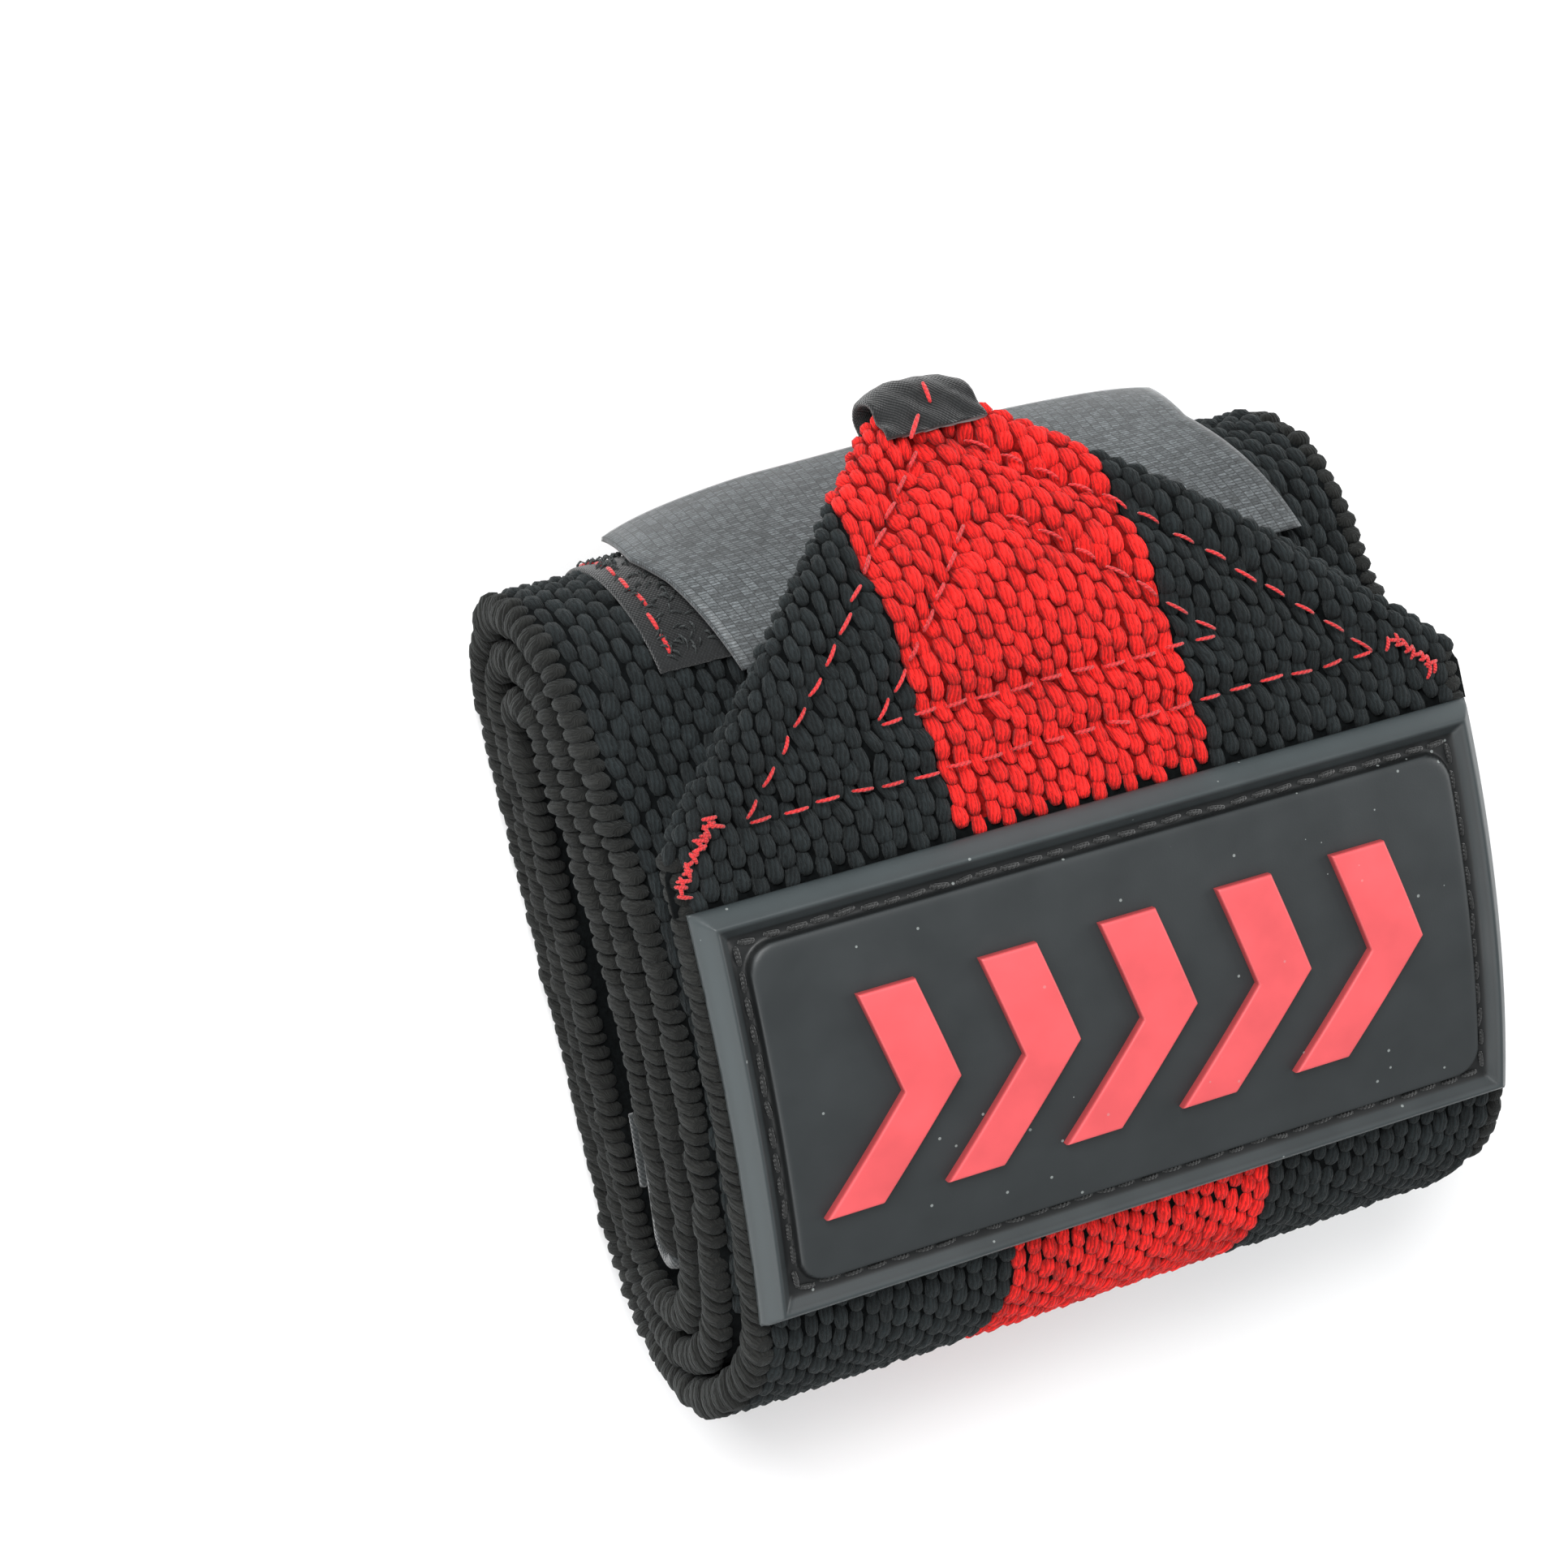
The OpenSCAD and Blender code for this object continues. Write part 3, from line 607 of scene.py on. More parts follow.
def nylon(name, shade):
    """Shiny black monofilament."""
    n = Nodes(name)
    grain = n.noise(n.where(), 900.0, 2.0)
    return n.finish(n.lit(shade, n.ramp(grain, 0.3, 0.7, 0.7, 1.4)), None, n.ramp(grain, 0.3, 0.7, 0.3, 0.45),
                    Specular_IOR_Level=0.5)


def finish_of(name):
    """The material of that name, made once from the scene's colours."""
    if name not in _kept:
        c = bpy.context.scene.wrap_colours
        makers = {
            "band_yarn": (yarn, "band yarn", c.charcoal, c.red),
            "selvedge_yarn": (yarn, "selvedge yarn", c.selvedge, c.red, 15.0, 0.3),
            "ground": (under_cloth, "ground yarn", c.charcoal, c.red),
            "red_thread": (thread_finish, "red thread", c.thread),
            "black_thread": (thread_finish, "black thread", (0.01, 0.011, 0.011)),
            "rubber": (rubber_finish, "patch rubber", c.rubber, c.rim),
            # The chevrons' edge colour, 0.45 of their red, is painted shade on their walls and top edges.
            "chevron": (rubber_finish, "chevron rubber", c.chevron, [v * 0.45 for v in c.chevron], 0.25),
            "tape": (satin_tape, "hook tape weave", c.tape),
            "pile": (yarn, "loop pile", c.pile, c.pile, 2.0, 1.0, 0.9, 0.5),
            "black_weave": (plain_weave, "black weave", c.pile),
            "elastic": (plain_weave, "elastic tape", (0.022, 0.026, 0.027), 0.5, 0.7),
            "hooks": (nylon, "hook nylon", (0.012, 0.012, 0.012)),
        }
        make, *values = makers[name]
        _kept[name] = make(*values)
    return _kept[name]


# ---- knit ----
def knit_cells(pod, x, s, width, length, height, lean, rng):
    """Loops as pods in band coordinates: across, along and up from the cloth, as (n, cells) arrays.
    A loop leans by an angle, dips into the cloth at both ends, and stands highest below its middle."""
    u, w, h = pod.cells.T
    n = len(x)
    lean = np.radians(lean + rng.normal(0, 6, n))[:, None]
    length = length * (1 + rng.normal(0, 0.06, n))[:, None]
    width = width * (1 + rng.normal(0, 0.08, n))[:, None]
    across, along = w * width / 2, u * length / 2
    x = (x + rng.normal(0, 0.09, n))[:, None] + across * np.cos(lean) + along * np.sin(lean)
    s = (s + rng.normal(0, 0.13, n))[:, None] - across * np.sin(lean) + along * np.cos(lean)
    up = h * height / 2 - 0.3 * u - 0.4 * u * u + rng.normal(0, 0.07, n)[:, None]
    return x, s, up


def knit_places(half, s0, s1, columns, rows):
    """Centres of the loops: columns side by side, every other one half a row further. The rows are counted
    from s = 0, so that stretches of one band join without a gap."""
    count = int(2 * half / columns)
    i = np.arange(count)
    j = np.arange(int(s0 / rows) - 2, int(s1 / rows) + 1)
    i, j = (g.ravel() for g in np.meshgrid(i, j, indexing="ij"))
    x = (i - (count - 1) / 2) * columns
    s = (j + 0.25 + 0.5 * (i % 2)) * rows
    keep = (s >= s0) & (s < s1)
    return x[keep], s[keep]


def loop_depth(pod, count):
    """How open to the light each cell is: less at a loop's two ends and low on its flanks."""
    u, _, h = pod.cells.T
    return np.tile(np.clip(0.62 + 0.5 * h - 0.1 * u - 0.35 * u**4, 0, 1), (count, 1))


def stripe(x, edges=STRIPE):
    """1 where the band's yarn is red."""
    return ((x > edges[0]) & (x < edges[1])).astype(float)


def knit(name, place, s0, s1, v, side, rng):
    """Loops over a stretch of band, on its outer side (side 1) or its inner side (side -1)."""
    n = lay()
    pod = Pod(5, 7, p=0.62, taper=-0.08)
    x, s = knit_places(36.4, s0, s1, n.mm["column_pitch"], n.mm["row_pitch"])
    cx, cs, up = knit_cells(pod, x, s, 1.54, 2.85, 1.6, -2, rng)
    return pods(name, pod, place(cx, cs, side * (v + up)), finish_of("band_yarn"), rng, dye=stripe(x),
                depth=loop_depth(pod, len(x)))


def beads(name, place, s0, s1, half, v_half, rng):
    """Selvedge loops: plump pods across the band's thickness, one after another along both edges."""
    n = lay()
    pod = Pod(6, 10, p=0.55, taper=0.0)
    u, w, h = pod.cells.T
    s = np.arange(s0, s1, n.mm["bead_pitch"])
    parts = []
    for side in (-1, 1):
        jitter = rng.normal(0, 0.1, (3, len(s), 1))
        v = u * v_half * (1 + jitter[0])
        cs = s[:, None] + w * 0.9 * (1 + jitter[1]) - 0.22 * u * v_half
        cx = side * (half - 1.25 + h * 1.2 * (1 + jitter[2]) - 0.28 * u * u)
        parts.append(place(cx, cs, v))
    count = 2 * len(s)
    # Painted shade: each bead is darker towards its ends along the band, where it meets its neighbours.
    depth = np.tile(np.clip(1 - 0.75 * np.abs(w) ** 3, 0, 1), (count, 1))
    return pods(name, pod, np.concatenate(parts), finish_of("selvedge_yarn"), rng, dye=np.zeros(count),
                depth=depth)


# ---- threads ----
def stitches(name, ends, place, width, height, rng, material="red_thread"):
    """Threads between pairs of (x, s) points, given as all the starts and all the ends. Each bows up by
    height (1 - u²) from its two holes."""
    pod = Pod(5, 6, p=0.45, taper=0.0)
    u, w, h = pod.cells.T
    mid, half = (ends[0] + ends[1]) / 2, (ends[1] - ends[0]) / 2
    side = np.stack([-half[:, 1], half[:, 0]], -1) / np.linalg.norm(half, axis=1)[:, None]
    at = mid[:, None] + half[:, None] * u[None, :, None] + side[:, None] * (w * width / 2)[None, :, None]
    v = h * width / 2 + height * (1 - u * u)
    points = place(at[..., 0], at[..., 1], np.broadcast_to(v, at.shape[:2]))
    return pods(name, pod, points, finish_of(material), rng)


def run(a, b, pitch, fill, rng):
    """Stitches of a row from a to b: their start and end points."""
    a, b = np.array(a, float), np.array(b, float)
    count = max(int(round(np.linalg.norm(b - a) / pitch)), 1)
    t = np.arange(count)[:, None]
    starts = a + (b - a) * (t + (1 - fill) / 2) / count
    ends = a + (b - a) * (t + (1 + fill) / 2) / count
    return starts + rng.normal(0, WOBBLE, starts.shape), ends + rng.normal(0, WOBBLE, ends.shape)


def rows(pairs, pitch, fill, rng):
    """The stitches of several rows: all their starts and all their ends."""
    parts = [run(a, b, pitch, fill, rng) for a, b in pairs]
    return np.concatenate([p[0] for p in parts]), np.concatenate([p[1] for p in parts])


# ---- operators ----
def say(piece, replaces=()):
    """The piece, after hiding the CAD nodes that it replaces."""
    if replaces:
        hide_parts(*replaces)
    return piece


class MakeStage(bpy.types.Operator):
    """Adds the camera, the pale floor and the soft studio light"""
    bl_idname = "wrap.stage"
    bl_label = "Stage"

    def execute(self, context):
        n = lay()
        a = (n.patch_a0 + n.patch_a1) / 2
        chord = (n.face_r + SEAT + n.mm["rim_height"]) * np.cos((n.patch_a0 - n.patch_a1) / 2)
        origin = n.on_arc(n.front_c, chord, 0.0, a)
        turn = np.array([[1, 0, 0], [0, np.sin(a), np.cos(a)], [0, -np.cos(a), np.sin(a)]])
        eye = turn @ np.array(EYE) * MM + origin
        right, down, ahead = (turn @ np.array(v) for v in CAMERA_AXES)
        camera = bpy.data.objects.new("camera", bpy.data.cameras.new("camera"))
        basis = np.eye(4)
        basis[:3, 0], basis[:3, 1], basis[:3, 2], basis[:3, 3] = right, -down, -ahead, eye
        camera.matrix_world = Matrix(basis.tolist()).normalized()
        camera.data.sensor_width = 36
        camera.data.lens = LENS
        camera.data.clip_start = 0.01
        context.scene.collection.objects.link(camera)
        context.scene.camera = camera

        floor_mesh = bpy.data.meshes.new("floor")
        r = 3.0
        z = -0.0005
        floor_mesh.from_pydata([(-r, -r, z), (r, -r, z), (r, r, z), (-r, r, z)], [], [(0, 1, 2, 3)])
        pale = Nodes("pale floor")
        grain = pale.noise(pale.where(), 30.0)
        colour = pale.mix(pale.ramp(grain, 0.3, 0.7), (0.86, 0.86, 0.86), (0.88, 0.88, 0.88))
        floor = link("floor", floor_mesh, pale.finish(colour, Roughness=0.8), smooth=False)

        world = bpy.data.worlds.new("studio")
        world.use_nodes = True
        sky = world.node_tree.nodes["Background"]
        sky.inputs[0].default_value, sky.inputs[1].default_value = (0.97, 0.985, 1.0, 1), 0.55
        context.scene.world = world
        context.scene.view_settings.view_transform = "Standard"
        for name, place, wide, power in LAMPS:
            light = bpy.data.lights.new(name, "AREA")
            light.energy, light.size = power, wide
            lamp = bpy.data.objects.new(name, light)
            lamp.location = place
            lamp.rotation_mode = "QUATERNION"
            lamp.rotation_quaternion = (Vector((0, 0, 0.02)) - Vector(place)).to_track_quat("-Z", "Y")
            context.scene.collection.objects.link(lamp)
        return {"FINISHED"}


def ground_strip(name, s):
    """The wound cloth between the knit loops, along s."""
    span = (-GROUND_HALF, GROUND_HALF)
    dye = np.tile(stripe(section(span, GROUND_SKIN, 0.9)[:, 0]), len(s))
    return ribbon(name, lay().wound, s, span, GROUND_SKIN, 0.9, finish_of("ground"), dye=np.append(dye, [0, 0]))


class MakeRoll(bpy.types.Operator):
    """Makes the wound band: its ground, its knit loops and its beaded edges"""
    bl_idname = "wrap.roll"
    bl_label = "Wound band"

    def execute(self, context):
        n = lay()
        rng = np.random.default_rng(11)
        cut = n.hinge_s - FRONT_LEAD
        ground = ground_strip("band_ground", np.linspace(0.5, cut + 0.6, 520))
        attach(say(ground, ["band_roll"]), "roll")
        front, back = n.last_front, n.last_front + 100
        for name, s0, s1 in (("knit_front_and_fold", front, back), ("knit_back", back, cut)):
            piece = knit(name, n.wound, s0, s1, 1.28, 1, rng)
            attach(say(piece), "roll")
        piece = beads("selvedge_roll", n.wound, 0.8, cut, n.half_w, 1.78, rng)
        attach(say(piece), "roll")
        return {"FINISHED"}


class MakeFrontTurn(bpy.types.Operator):
    """Makes the outer turn's front, from the low fold on"""
    bl_idname = "wrap.front_turn"
    bl_label = "Outer turn"

    def execute(self, context):
        n = lay()
        rng = np.random.default_rng(12)
        cut = n.hinge_s - FRONT_LEAD
        ground = ground_strip("front_ground", np.linspace(cut + 0.2, n.face_end - 0.2, 90))
        say(ground, ["band_front"])
        outer = knit("knit_low_edge", n.wound, cut, n.hinge_s + 1.8, 1.28, 1, rng)
        inner = knit("knit_under_front", n.wound, cut + 3.0, n.face_end - 1.2, 1.2, -1, rng)
        edge = beads("selvedge_front", n.wound, cut + 0.3, n.face_end, n.half_w, 1.78, rng)
        hinge = n.at_home(0, n.band.lift(n.hinge_s, n.half_t))
        start = n.at_home(0, n.band.lift(n.hinge_s - 8, 0))
        end = n.at_home(0, n.band.lift(n.hinge_s + 1, 0))
        start[2] = end[2] = hinge[2]
        for piece in (ground, outer, inner, edge):
            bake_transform(piece)
        return {"FINISHED"}


def box_distance(x, y, half_x, half_y, corner):
    """Distance inside a rounded rectangle: positive inwards."""
    qx, qy = np.abs(x) - (half_x - corner), np.abs(y) - (half_y - corner)
    outside = np.hypot(np.maximum(qx, 0), np.maximum(qy, 0))
    return corner - outside - np.minimum(np.maximum(qx, qy), 0)


class MakePatch(bpy.types.Operator):
    """Makes the rubber patch, its stitched groove and its raised chevrons"""
    bl_idname = "wrap.patch"
    bl_label = "Rubber patch"

    def execute(self, context):
        n = lay()
        half_x, half_l = n.mm["patch_width"] / 2, n.mm["patch_length"] / 2
        mid_a = (n.patch_a0 + n.patch_a1) / 2
        half_a = (n.patch_a0 - n.patch_a1) / 2
        base_r = n.face_r + SEAT

        def place(x, y, v):
            """y runs along the face from the patch's middle, v up from its base."""
            return n.on_arc(n.front_c, base_r + v, x, mid_a - y / half_l * half_a)

        near = np.array([0, 0.05, 0.2, 0.5, 0.8, 1.1, 1.3, 1.42, 1.52, 1.62, 1.75, 1.95, 2.15, 2.4, 2.6, 2.9,
                         3.2, 3.5, 3.62, 3.72, 3.82, 3.92, 4.05, 4.2, 4.4, 4.7, 5.0, 5.4, 5.9, 6.5])
        across, along = (
            np.concatenate([near, np.linspace(7.2, 2 * half - 7.2, count), 2 * half - near[::-1]]) - half
            for half, count in ((half_x, 52), (half_l, 18)))
        x, y = np.meshgrid(across, along)
        d = box_distance(x, y, half_x, half_l, 0.6)
        inner = box_distance(x, y, half_x - 3.7, half_l - 3.7, 2.5)
        rim = np.interp(d, [0, 0.06, 0.25, 1.3, 1.45, 1.6, 1.75, 2.5, 2.62, 3.2],
                        [0.5, 0.75, 1.05, 2.3, 2.46, 2.5, 2.42, 1.5, 1.36, GROOVE])
        panel = np.interp(inner, [-0.25, 0.0, 0.12, 0.3, 0.55, 0.9], [0, 0.62, 0.8, 0.9, 0.955, PANEL]) + GROOVE
        height = np.where(inner > -0.25, np.maximum(rim, panel), rim) / 2.5 * n.mm["rim_height"]
        pale = np.clip(1.15 - np.abs(d - 0.7) / 1.1, 0, 1) ** 0.5 * (d < 2.1) + 0.25 * (d >= 2.1) * (d < 2.6)
        # Painted shade: 0 on the sewing groove's floor, where the rubber is painted darker as shade; 1
        # elsewhere.
        painted_lit_outside_groove = 1.0 - ((d > 2.5) & (inner < 0.1))
        skins = place(x, y, height), place(x, y, np.zeros_like(x))
        patch = slab("rubber_patch", [skins], finish_of("rubber"),
                     rim=np.append(pale, np.full(x.size, 0.9)), depth=np.append(painted_lit_outside_groove, np.ones(x.size)))
        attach(say(patch, ["patch_base"]), "outer_turn")

        rng = np.random.default_rng(21)
        sx, sy = half_x - 3.15, half_l - 3.15
        corners = [(-sx, -sy), (sx, -sy), (sx, sy), (-sx, sy)]
        seam = stitches("patch_seam", rows(zip(corners, corners[1:] + corners[:1]), 2.2, 0.82, rng),
                        lambda x, y, v: place(x, y, GROOVE + v), 0.5, 0.12, rng, "black_thread")
        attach(say(seam, ["patch_stitching"]), "outer_turn")
        self.chevrons(place)
        return {"FINISHED"}

    def chevrons(self, place):
        """Each chevron is x = slant w + reach (1 - |w|) + stroke u for u in 0..1 and w in -1..1."""
        arm, stroke, reach, pitch, slant, count = 9.2, 5.4, 5.6, 11.4, 3.0, 5
        edge = np.array([0, 0.015, 0.06, 0.14, 0.25, 0.4])
        u = np.concatenate([edge / stroke, np.linspace(0.15, 0.85, 6), 1 - edge[::-1] / stroke])
        end = edge / arm
        w = np.concatenate([-1 + end, np.linspace(-0.9, -0.06, 9), [-0.02, 0, 0.02], np.linspace(0.06, 0.9, 9),
                            1 - end[::-1]])
        uu, ww = np.meshgrid(u, w)
        lean = arm / np.hypot(arm, reach - slant * np.sign(ww))
        d = np.minimum(np.minimum(uu, 1 - uu) * stroke * lean, (1 - np.abs(ww)) * arm)
        lift = 0.8 * np.sqrt(np.clip(1 - (1 - np.clip(d / 0.22, 0, 1)) ** 2, 0, 1))
        base = GROOVE + 0.96
        sheets = []
        for i in range(count):
            x = slant * ww + reach * (1 - np.abs(ww)) + stroke * uu
            x = x + (i - (count - 1) / 2) * pitch - (stroke + reach) / 2
            y = ww * arm
            sheets.append((place(x, y, base + 0.45 * (lift > 0) + lift * 0.55),
                           place(x, y, np.full_like(x, base - 0.15))))
        # Painted shade: rim is 1 on the chevrons' walls and along their top edges, which take the darker edge
        # colour.
        rim = np.tile(np.append(np.clip(1 - d / 0.1, 0, 1), np.ones(d.size)), count)
        piece = slab("chevrons", sheets, finish_of("chevron"), rim=rim, depth=np.ones(rim.size))
        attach(say(piece, ["patch_chevrons"]), "outer_turn")


class FoldedEnd:
    """The pointed end's cloth. A point (x, s) of the flat band folds about the slanted line from the
    shoulder to the tip. Its distance t inside the line becomes an arc of radius r at the fold, the upper
    ply before it and the turned corner after it."""

    def __init__(self, n):
        self.n = n
        self.r = (TOP_PLY + CORNER_PLY + SEAT) / 2
        self.mid_v = TOP_PLY - self.r
        corner, tip = np.array([n.half_w, n.shoulder]), np.array([n.tip_half, n.point_l])
        along = (tip - corner) / np.linalg.norm(tip - corner)
        self.corner, self.inwards = corner, np.array([-along[1], along[0]])
        self.rows = []

    def dents(self, x, s):
        """How far the seams draw the cloth down: the largest exp(-(distance/1.25)²) of the rows."""
        total = np.zeros_like(x)
        for a, b in self.rows:
            a, b = np.array(a), np.array(b)
            d = b - a
            t = np.clip(((x - a[0]) * d[0] + (s - a[1]) * d[1]) / (d @ d), 0, 1)
            gap = np.hypot(x - a[0] - t * d[0], s - a[1] - t * d[1])
            total = np.maximum(total, np.exp(-((gap / 1.25) ** 2)))
        return total

    def fold(self, x, s, up):
        """Flat (x, s) and height up over the cloth's outer side to a folded place."""
        side = np.where(x < 0, -1.0, 1.0)
        ax = np.abs(x)
        t = (ax - self.corner[0]) * self.inwards[0] + (s - self.corner[1]) * self.inwards[1]
        t = np.where(s < self.corner[1] - 1.5, np.maximum(t, 0.9 * self.r), t)
        quarter = self.r * QUARTER
        arc_t = t + quarter - self.r
        angle = np.clip(arc_t / self.r, -QUARTER, QUARTER)
        q = self.r - (self.r + up) * np.cos(angle) + np.maximum(np.abs(arc_t) - quarter, 0)
        v = self.mid_v + (self.r + up) * np.sin(angle)
        shift = q - t
        fx, fs = side * (ax + shift * self.inwards[0]), s + shift * self.inwards[1]
        pull = self.dents(fx, fs)
        return fx, fs, v - np.where(angle > 0, 1.2 * pull, -0.5 * pull)

    def place(self, x, s, up):
        fx, fs, v = self.fold(x, s, up)
        return self.n.on_point(fx, np.clip(fs, -1.4, self.n.point_l + 2.5), v)


def seam_rows(n, inset, stop_short, above):
    """A seam's three rows: across above the shoulder, and inside each slanted side."""
    low_s = n.shoulder + above
    slope = (n.half_w - n.tip_half) / (n.point_l - n.shoulder)
    inwards = inset * np.hypot(1, slope)
    top_s = n.point_l - stop_short

    def half(s):
        return n.half_w - slope * (s - n.shoulder)

    low_x, top_x = half(low_s) - inwards, max(half(top_s) - inwards, 0.6)
    left, right = (-low_x, low_s), (low_x, low_s)
    return [(left, right), (left, (-top_x, top_s)), (right, (top_x, top_s))]


class MakePoint(bpy.types.Operator):
    """Makes the pointed end: its folded cloth, seams, bar tacks and tip binding"""
    bl_idname = "wrap.point"
    bl_label = "Pointed end"

    def execute(self, context):
        n = lay()
        rng = np.random.default_rng(13)
        cloth = FoldedEnd(n)
        outer, inner = seam_rows(n, 5, 4.5, 0.8), seam_rows(n, 11, 12.5, 6)
        cloth.rows = outer + inner
        pod = Pod(6, 8, p=0.62, taper=-0.08)
        x, s = knit_places(38.6, -1.2, n.point_l + 0.5, n.mm["column_pitch"], n.mm["row_pitch"])
        inside = (np.abs(x) - n.half_w) * cloth.inwards[0] + (s - n.shoulder) * cloth.inwards[1]
        keep = (s > n.shoulder - 1) | (np.abs(x) < n.half_w - 1.4)
        keep &= ~((inside < -2) & (np.abs(x) < 3))
        x, s = x[keep], s[keep]
        cx, cs, up = knit_cells(pod, x, s, 1.46, 2.8, 1.5, -2, rng)
        knitted = pods("knit_point", pod, cloth.place(cx, cs, up - 0.5), finish_of("band_yarn"), rng,
                       dye=stripe(x, POINT_STRIPE), depth=loop_depth(pod, len(x)))

        fx, fs = np.meshgrid(np.linspace(-38.3, 38.3, 150), np.linspace(-1.4, n.point_l, 86))
        skins = [cloth.place(fx, fs, np.full_like(fx, up)) for up in (-0.62, -1.15)]
        ground = slab("point_ground", [skins], finish_of("ground"),
                      dye=np.tile(stripe(fx, POINT_STRIPE).ravel(), 2))
        say(ground, ["pointed_end", "left_folded_corner", "right_folded_corner"])

        edge = beads("selvedge_point", lambda x, s, v: n.on_point(x, s, 0.2 + v), 0.4, n.shoulder - 0.8,
                     n.half_w, 1.7, rng)
        start, end = (n.on_point(np.array(0.0), np.array(at), TOP_PLY) for at in (-0.2, 4.6))
        for piece in (knitted, ground, edge):
            tuple(start)
            tuple(end)
            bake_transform(piece)

        for name, seam, node in (("outer_seam", outer, "outer_stitch_rows"),
                                 ("inner_seam", inner, "inner_stitch_rows")):
            piece = stitches(name, rows(seam, n.mm["stitch"], 0.72, rng),
                             lambda x, s, v: n.on_point(x, s, TOP_PLY - 0.62 + v), 0.34, 0.42, rng)
            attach(say(piece, [node]), "point")
        self.tacks(n, rng)
        self.binding(n, rng)
        return {"FINISHED"}

    def tacks(self, n, rng):
        """Dense zigzags across the two lower corners, 0.9 mm wide, with two longer threads each."""
        for name, node, a, b, count in (
            ("left_tack", "left_bar_tack", (-37.6, 0.9), (-33.4, 6.0), 20),
            ("right_tack", "right_bar_tack", (32.0, 5.6), (35.4, 2.2), 12),
        ):
            a, b = np.array(a), np.array(b)
            along = (b - a) / np.linalg.norm(b - a)
            side = np.array([along[1], -along[0]])
            across = side * 0.9 / 2
            t = np.linspace(0, 1, count)[:, None]
            flip = np.where(np.arange(count) % 2, 1, -1)[:, None]
            mid = a + (b - a) * t
            lean = along * 0.4 * flip
            starts = mid - across - lean + rng.normal(0, 0.15, mid.shape)
            ends = mid + across + lean + rng.normal(0, 0.15, mid.shape)
            ends = np.stack([np.concatenate([starts, np.array([a, b]) - along * 0.5]),
                             np.concatenate([ends, np.array([a, b]) + side * 1.4])])
            piece = stitches(name, ends, lambda x, s, v: n.on_point(x, s, TOP_PLY + 0.1 + v), 0.38, 0.3, rng)
            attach(say(piece, [node]), "point")

    def binding(self, n, rng):
        """Black tape over the tip: a U-shaped strip of 0.55 mm, 3.8 mm deep on each side, creased and bent."""
        lap, wall = 3.8, 0.55
        mid_v = (TOP_PLY - CORNER_PLY) / 2
        bend = (TOP_PLY + CORNER_PLY) / 2 + wall
        t = np.linspace(0, 1, 12)
        turn = np.linspace(QUARTER, -QUARTER, 14)
        end = n.point_l + 0.2
        s = np.concatenate([end - lap * (1 - t), end + bend * np.cos(turn), end - lap * t])
        v = np.concatenate([np.full(12, mid_v + bend), mid_v + bend * np.sin(turn), np.full(12, mid_v - bend)])
        ns, nv = normals(s, v)
        s, v = s[:, None], v[:, None]
        ring = section((-n.tip_half - 0.3, n.tip_half + 0.3), (-wall / 2, wall / 2), 0.24)
        flat = np.linspace(-1, 1, 14) * n.tip_half
        ring = np.concatenate([ring[:4], np.stack([flat, np.full(14, -wall / 2)], -1), ring[4:12],
                               np.stack([flat[::-1], np.full(14, wall / 2)], -1), ring[12:]])
        rx, out = ring[None, :, 0], ring[None, :, 1]
        crease = 0.2 * np.sin(rx * 1.3 + 1.1) * np.sin(s * 1.7) + 0.1 * np.sin(rx * 2.9 + s * 1.9)
        droop = -0.05 * rx**2 * np.clip((s - end + lap) / lap, 0, 1)
        piece = tube("tip_tape", n.on_point(rx, s + droop + out * ns, v + crease + out * nv),
                     finish_of("black_weave"))
        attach(say(piece, ["tip_binding"]), "point")
        ends = np.array([[(-3.0, end - 4.5), (0.5, end - 1.5)], [(-1.0, end - 2.2), (0.9, end + 0.8)]])
        seam = stitches("tip_thread", ends, lambda x, s, v: n.on_point(x, s, mid_v + bend + 0.3 + v),
                        0.42, 0.15, rng)
        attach(say(seam), "point")


